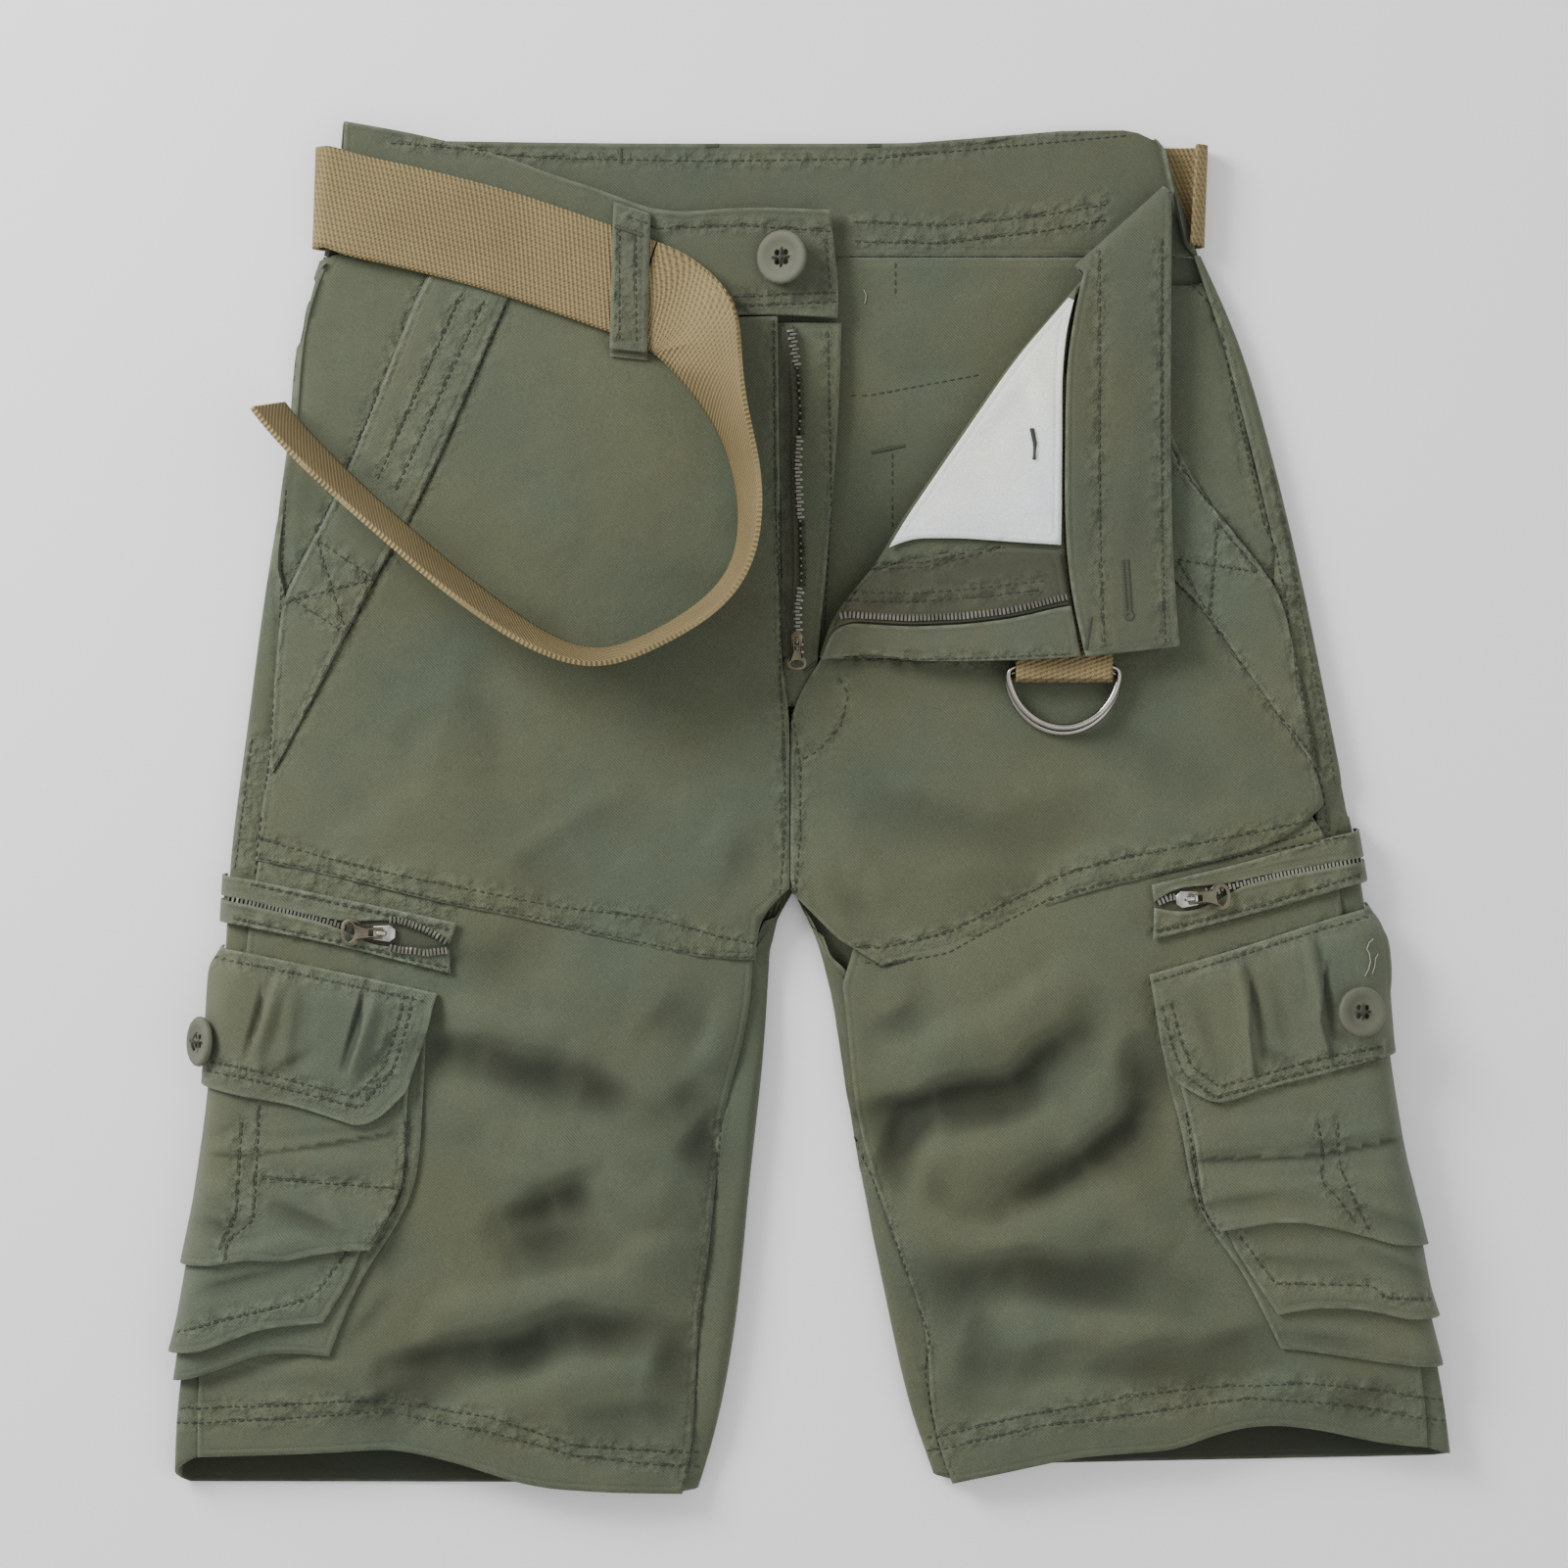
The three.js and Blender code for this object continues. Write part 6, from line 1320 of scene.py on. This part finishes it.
# Colour and roughness of each metal, and of the threads that aren't the seams' own
SILVER = ((0.46, 0.46, 0.42), 0.30)
BRONZE = ((0.15, 0.135, 0.095), 0.36)
STEEL = ((0.20, 0.195, 0.165), 0.34)
CHROME = ((0.40, 0.38, 0.34), 0.2)
OLIVE_THREAD = (0.055, 0.062, 0.040)
PALE_THREAD = (0.30, 0.31, 0.25)
# The buttonhole on the turned waistband: both ends of its slot, half its width, and its keyhole's
# centre and radius, in millimetres
SLOT_ENDS, SLOT_HALF_WIDTH = ((126.2, 101), (127.4, 80)), 0.95
KEYHOLE, KEYHOLE_RADIUS = (127.6, 78.2), 1.5
TACK_WIDTH = 1.7
# Loose threads beside the left cargo button and inside the waist, and the thread that tacks the
# pocket bag: how far each of its strands is set aside in millimetres, and the strand's radius
LOOSE_THREADS = (
    ((222, -67), (223.6, -64), (224.4, -61), (224, -58), (223, -56), (224, -53.6), (226, -52)),
    ((225, -66), (226.2, -63), (226.6, -60), (228, -58)),
    ((21, 212), (22, 210), (22, 208), (21.4, 206)),
)
BAG_STRANDS = ((0.0, 0.0006), (0.6, 0.0004), (-0.5, 0.00035))


def slot_material(slot):
    settings = cloth_settings()
    pitch = settings.twill_pitch
    if slot == "twill":
        return cloth_material("twill", tuple(settings.twill), pitch)
    if slot == "twill_band":
        return cloth_material("twill_band", tuple(settings.band), pitch, wear=0.75)
    if slot == "twill_pocket":
        return cloth_material("twill_pocket", tuple(settings.pocket), pitch, wear=0.75)
    if slot == "lining":
        return cloth_material("lining", tuple(settings.lining), pitch * 0.45, 0.12, 0.1)
    return cloth_material("zip_tape", tuple(settings.tape), pitch * 0.9, 0.6, 0.15)


def dress_group(group):
    for node, slot, levels in CLOTH_PIECES[group]:
        dress_cloth(node, slot_material(slot), levels)


class SHORTS_OT_backs(bpy.types.Operator):
    """Dress the back legs and the hip bearers"""

    bl_idname = "shorts.backs"
    bl_label = "Back legs"

    def execute(self, context):
        dress_group("backs")
        return {"FINISHED"}


class SHORTS_OT_waistband(bpy.types.Operator):
    """Dress the waistband and its belt loop"""

    bl_idname = "shorts.waistband"
    bl_label = "Waistband"

    def execute(self, context):
        dress_group("waistband")
        self.raise_band_end()
        return {"FINISHED"}

    def raise_band_end(self):
        """The back band's top edge climbs towards the left side and rounds off at its corner"""
        climb_start, climb_end, fall, band_end = 40.0, 135.0, 138.0, 146.0
        foot, head, rise = 240.0, 270.0, 6.0
        corner_start, corner_top, corner_drop = 126.0, 276.5, 7.0
        band = bpy.data.objects["cloth_waistband_back"]
        coordinates = points_of(band)
        x, y = coordinates[:, 0] / MM, coordinates[:, 1] / MM
        climb = level_share(x, climb_start, climb_end) * (1.0 - level_share(x, fall, band_end))
        y += rise * climb * level_share(y, foot, head)
        corner = corner_top - corner_drop * np.clip((x - corner_start) / 16.0, 0.0, 1.2) ** 2
        y -= 0.9 * np.maximum(y - corner, 0.0) * (x > 100.0)
        coordinates[:, 1] = y * MM
        store_points(band, coordinates)


class SHORTS_OT_fronts(bpy.types.Operator):
    """Dress the four fronts"""

    bl_idname = "shorts.fronts"
    bl_label = "Fronts"

    def execute(self, context):
        dress_group("fronts")
        for side in ("right", "left"):
            upper, lower = f"front_upper_{side}", f"front_lower_{side}"
            tuck_under(lower, [upper], 16.0, 8.0)
            tuck_under(f"back_{side}", [upper, lower], reach=9.0)
            tuck_under(f"hip_{side}", [f"back_{side}"])
        tuck_under("back_left", ["front_upper_left", "front_lower_left"], 13.0, 8.0, (207, -6, 20))
        return {"FINISHED"}


class SHORTS_OT_slants(bpy.types.Operator):
    """Dress the bands of the slant pockets"""

    bl_idname = "shorts.slants"
    bl_label = "Slant pockets"

    def execute(self, context):
        dress_group("slants")
        return {"FINISHED"}


class SHORTS_OT_fly(bpy.types.Operator):
    """Dress the fly and the inside of the turned front"""

    bl_idname = "shorts.fly"
    bl_label = "Fly"

    def execute(self, context):
        dress_group("fly")
        return {"FINISHED"}


class SHORTS_OT_cargo(bpy.types.Operator):
    """Dress the cargo pockets"""

    bl_idname = "shorts.cargo"
    bl_label = "Cargo pockets"

    def execute(self, context):
        dress_group("cargo")
        return {"FINISHED"}


class SHORTS_OT_zips(bpy.types.Operator):
    """Dress the zip pockets and set their teeth"""

    bl_idname = "shorts.zips"
    bl_label = "Zip pockets"

    def execute(self, context):
        dress_group("zips")
        silver = metal_material("zip silver", *SILVER)
        bronze = metal_material("zip bronze", *BRONZE)
        steel = metal_material("zip teeth", *STEEL)
        tree = surface_tree(["cloth_" + node for node in (
            "zip_tape_right", "zip_tape_left", "fly_tape_right", "fly_tape_left", "fly_facing_left",
            "zip_welt_upper_right", "zip_welt_upper_left", "zip_welt_lower_right",
            "zip_welt_lower_left")])
        points, faces = [], []
        for path, side in TEETH.values():
            row_of_teeth(points, faces, tree, path, side)
        made_piece("zip_teeth", points, faces, steel, smooth=False)
        for node, body, metal in (("zip_slider_right", "shorts", silver),
                                  ("zip_slider_left", "shorts", silver),
                                  ("fly_slider", "shorts", bronze),
                                  ("zip_pull_right", "zip_pull_right", bronze),
                                  ("zip_pull_left", "zip_pull_left", bronze),
                                  ("fly_pull", "fly_pull", bronze)):
            trim_only(node, "metal_" + node, metal, body)
        return {"FINISHED"}


class SHORTS_OT_belt(bpy.types.Operator):
    """Dress the belt's webbing"""

    bl_idname = "shorts.belt"
    bl_label = "Belt"

    def execute(self, context):
        for node in STRAPS:
            dress_strap(node)
        return {"FINISHED"}


class SHORTS_OT_trim(bpy.types.Operator):
    """Dress the rings and the buttons"""

    bl_idname = "shorts.trim"
    bl_label = "Rings and buttons"

    def execute(self, context):
        chrome = metal_material("ring_metal", *CHROME, scratches=0.1)
        for level in ("lower", "upper"):
            trim_only(f"d_ring_{level}", f"metal_d_ring_{level}", chrome,
                      f"ring_{level}", levels=2, bevel=0.0)
        plastic = button_material("button", tuple(trim_settings().button))
        thread = thread_material("thread", tuple(trim_settings().thread))
        for node, radius in BUTTON_RADII.items():
            trim_only(node, "plastic_" + node, plastic, "shorts")
            points, faces = [], []
            thread_cross(points, faces, "plastic_" + node, radius)
            made_piece("thread_" + node, points, faces, thread)
        return {"FINISHED"}


class SHORTS_OT_stitching(bpy.types.Operator):
    """Set every row of stitches, the tacks and the loose threads"""

    bl_idname = "shorts.stitching"
    bl_label = "Stitching"

    def execute(self, context):
        settings = trim_settings()
        thread = thread_material("thread", tuple(settings.thread))
        names = ["cloth_" + node for group in CLOTH_PIECES.values() for node, _, _ in group]
        tree = surface_tree(names)
        for name, table in (("stitches_legs", LEG_STITCHES), ("stitches_waist", WAIST_STITCHES),
                            ("stitches_cargo", CARGO_STITCHES)):
            stitch_rows(name, table.values(), tree, thread, settings.stitch_pitch,
                        settings.stitch_width)
        points, faces = [], []
        for start, end in TACKS.values():
            tack_bar(points, faces, tree, start, end, TACK_WIDTH)
        buttonhole(points, faces, tree, *SLOT_ENDS, SLOT_HALF_WIDTH)
        keyhole(points, faces, tree, KEYHOLE, KEYHOLE_RADIUS)
        olive = thread_material("olive thread", OLIVE_THREAD)
        made_piece("stitches_tacks", points, faces, olive)
        self.place_loose_threads(tree)
        return {"FINISHED"}

    def place_loose_threads(self, tree):
        pale = thread_material("pale thread", PALE_THREAD)
        points, faces = [], []
        for plan in LOOSE_THREADS:
            tube(points, faces, laid_thread(tree, plan, 0.0004), 0.0002)
        made_piece("loose_threads", points, faces, pale)
        points, faces = [], []
        for slip, radius in BAG_STRANDS:
            plan = ((88.6 + slip, 154), (89.8 + slip, 148), (89.6 - slip, 140.6))
            tube(points, faces, laid_thread(tree, plan, 0.0005), radius)
        made_piece("bag_tack", points, faces, bpy.data.materials["finish thread"])


# Lights: place, size in metres and power in watts. The camera looks straight down.
LIGHTS = {"key": ((-1.15, 0.85, 0.95), 0.7, 34.0), "fill": ((0.9, -0.3, 1.7), 1.6, 10.0),}
CAMERA_PLACE, FOCAL_LENGTH = (-0.0114, 0.0104, 1.6), 89.94


class SHORTS_OT_stage(bpy.types.Operator):
    """Lay a pale floor, light it and point the camera straight down"""

    bl_idname = "shorts.stage"
    bl_label = "Stage"

    def execute(self, context):
        self.floor()
        for name, (place, size, power) in LIGHTS.items():
            self.light(name, place, size, power)
        world = bpy.data.worlds.new("studio")
        world.use_nodes = True
        background = world.node_tree.nodes["Background"]
        background.inputs["Color"].default_value = (1.0, 1.0, 1.0, 1.0)
        background.inputs["Strength"].default_value = 0.7
        context.scene.world = world
        lens = bpy.data.cameras.new("camera")
        lens.lens = FOCAL_LENGTH
        lens.sensor_width = 36.0
        lens.clip_end = 10.0
        camera = bpy.data.objects.new("camera", lens)
        camera.location = CAMERA_PLACE
        context.scene.collection.objects.link(camera)
        context.scene.camera = camera
        return {"FINISHED"}

    def floor(self):
        size = 2.0
        data = bpy.data.meshes.new("floor")
        data.from_pydata([(-size, -size, 0), (size, -size, 0), (size, size, 0),
                          (-size, size, 0)], [], [(0, 1, 2, 3)])
        paper = bpy.data.materials.new("finish floor")
        paper.use_nodes = True
        set_values(paper.node_tree.nodes["Principled BSDF"].inputs,
                   Base_Color=(0.93, 0.93, 0.93, 1.0), Roughness=0.9)
        data.materials.append(paper)
        ground = bpy.data.objects.new("floor", data)
        ground.location.z = -0.0002
        bpy.context.scene.collection.objects.link(ground)

    def light(self, name, place, size, power):
        data = bpy.data.lights.new(name, "AREA")
        data.size = size
        data.energy = power
        lamp = bpy.data.objects.new(name, data)
        lamp.location = place
        lamp.rotation_euler = (-Vector(place)).to_track_quat("-Z", "Y").to_euler()
        bpy.context.scene.collection.objects.link(lamp)


OPERATORS = (SHORTS_OT_backs, SHORTS_OT_waistband, SHORTS_OT_fronts, SHORTS_OT_slants,
             SHORTS_OT_fly, SHORTS_OT_cargo, SHORTS_OT_zips, SHORTS_OT_belt, SHORTS_OT_trim,
             SHORTS_OT_stitching, SHORTS_OT_stage)


class SHORTS_PT_panel(bpy.types.Panel):
    """Settings and steps of the shorts"""

    bl_idname = "SHORTS_PT_panel"
    bl_label = "Shorts"
    bl_space_type = "VIEW_3D"
    bl_region_type = "UI"
    bl_category = "Shorts"

    def draw(self, context):
        for settings in (cloth_settings(), trim_settings()):
            for name in settings.bl_rna.properties.keys():
                if name not in ("rna_type", "name"):
                    self.layout.prop(settings, name)
        for operator in OPERATORS:
            self.layout.operator(operator.bl_idname)


CLASSES = (ShortsCloth, ShortsTrim, *OPERATORS, SHORTS_PT_panel)


def register():
    for item in CLASSES:
        bpy.utils.register_class(item)
    bpy.types.Scene.shorts_cloth = PointerProperty(type=ShortsCloth)
    bpy.types.Scene.shorts_trim = PointerProperty(type=ShortsTrim)


def unregister():
    del bpy.types.Scene.shorts_trim
    del bpy.types.Scene.shorts_cloth
    for item in reversed(CLASSES):
        bpy.utils.unregister_class(item)


def main():
    register()
    for step in ("backs", "waistband", "fronts", "slants", "fly", "cargo", "zips", "belt",
                 "trim", "stitching", "stage"):
        getattr(bpy.ops.shorts, step)()


if __name__ == "__main__":
    main()
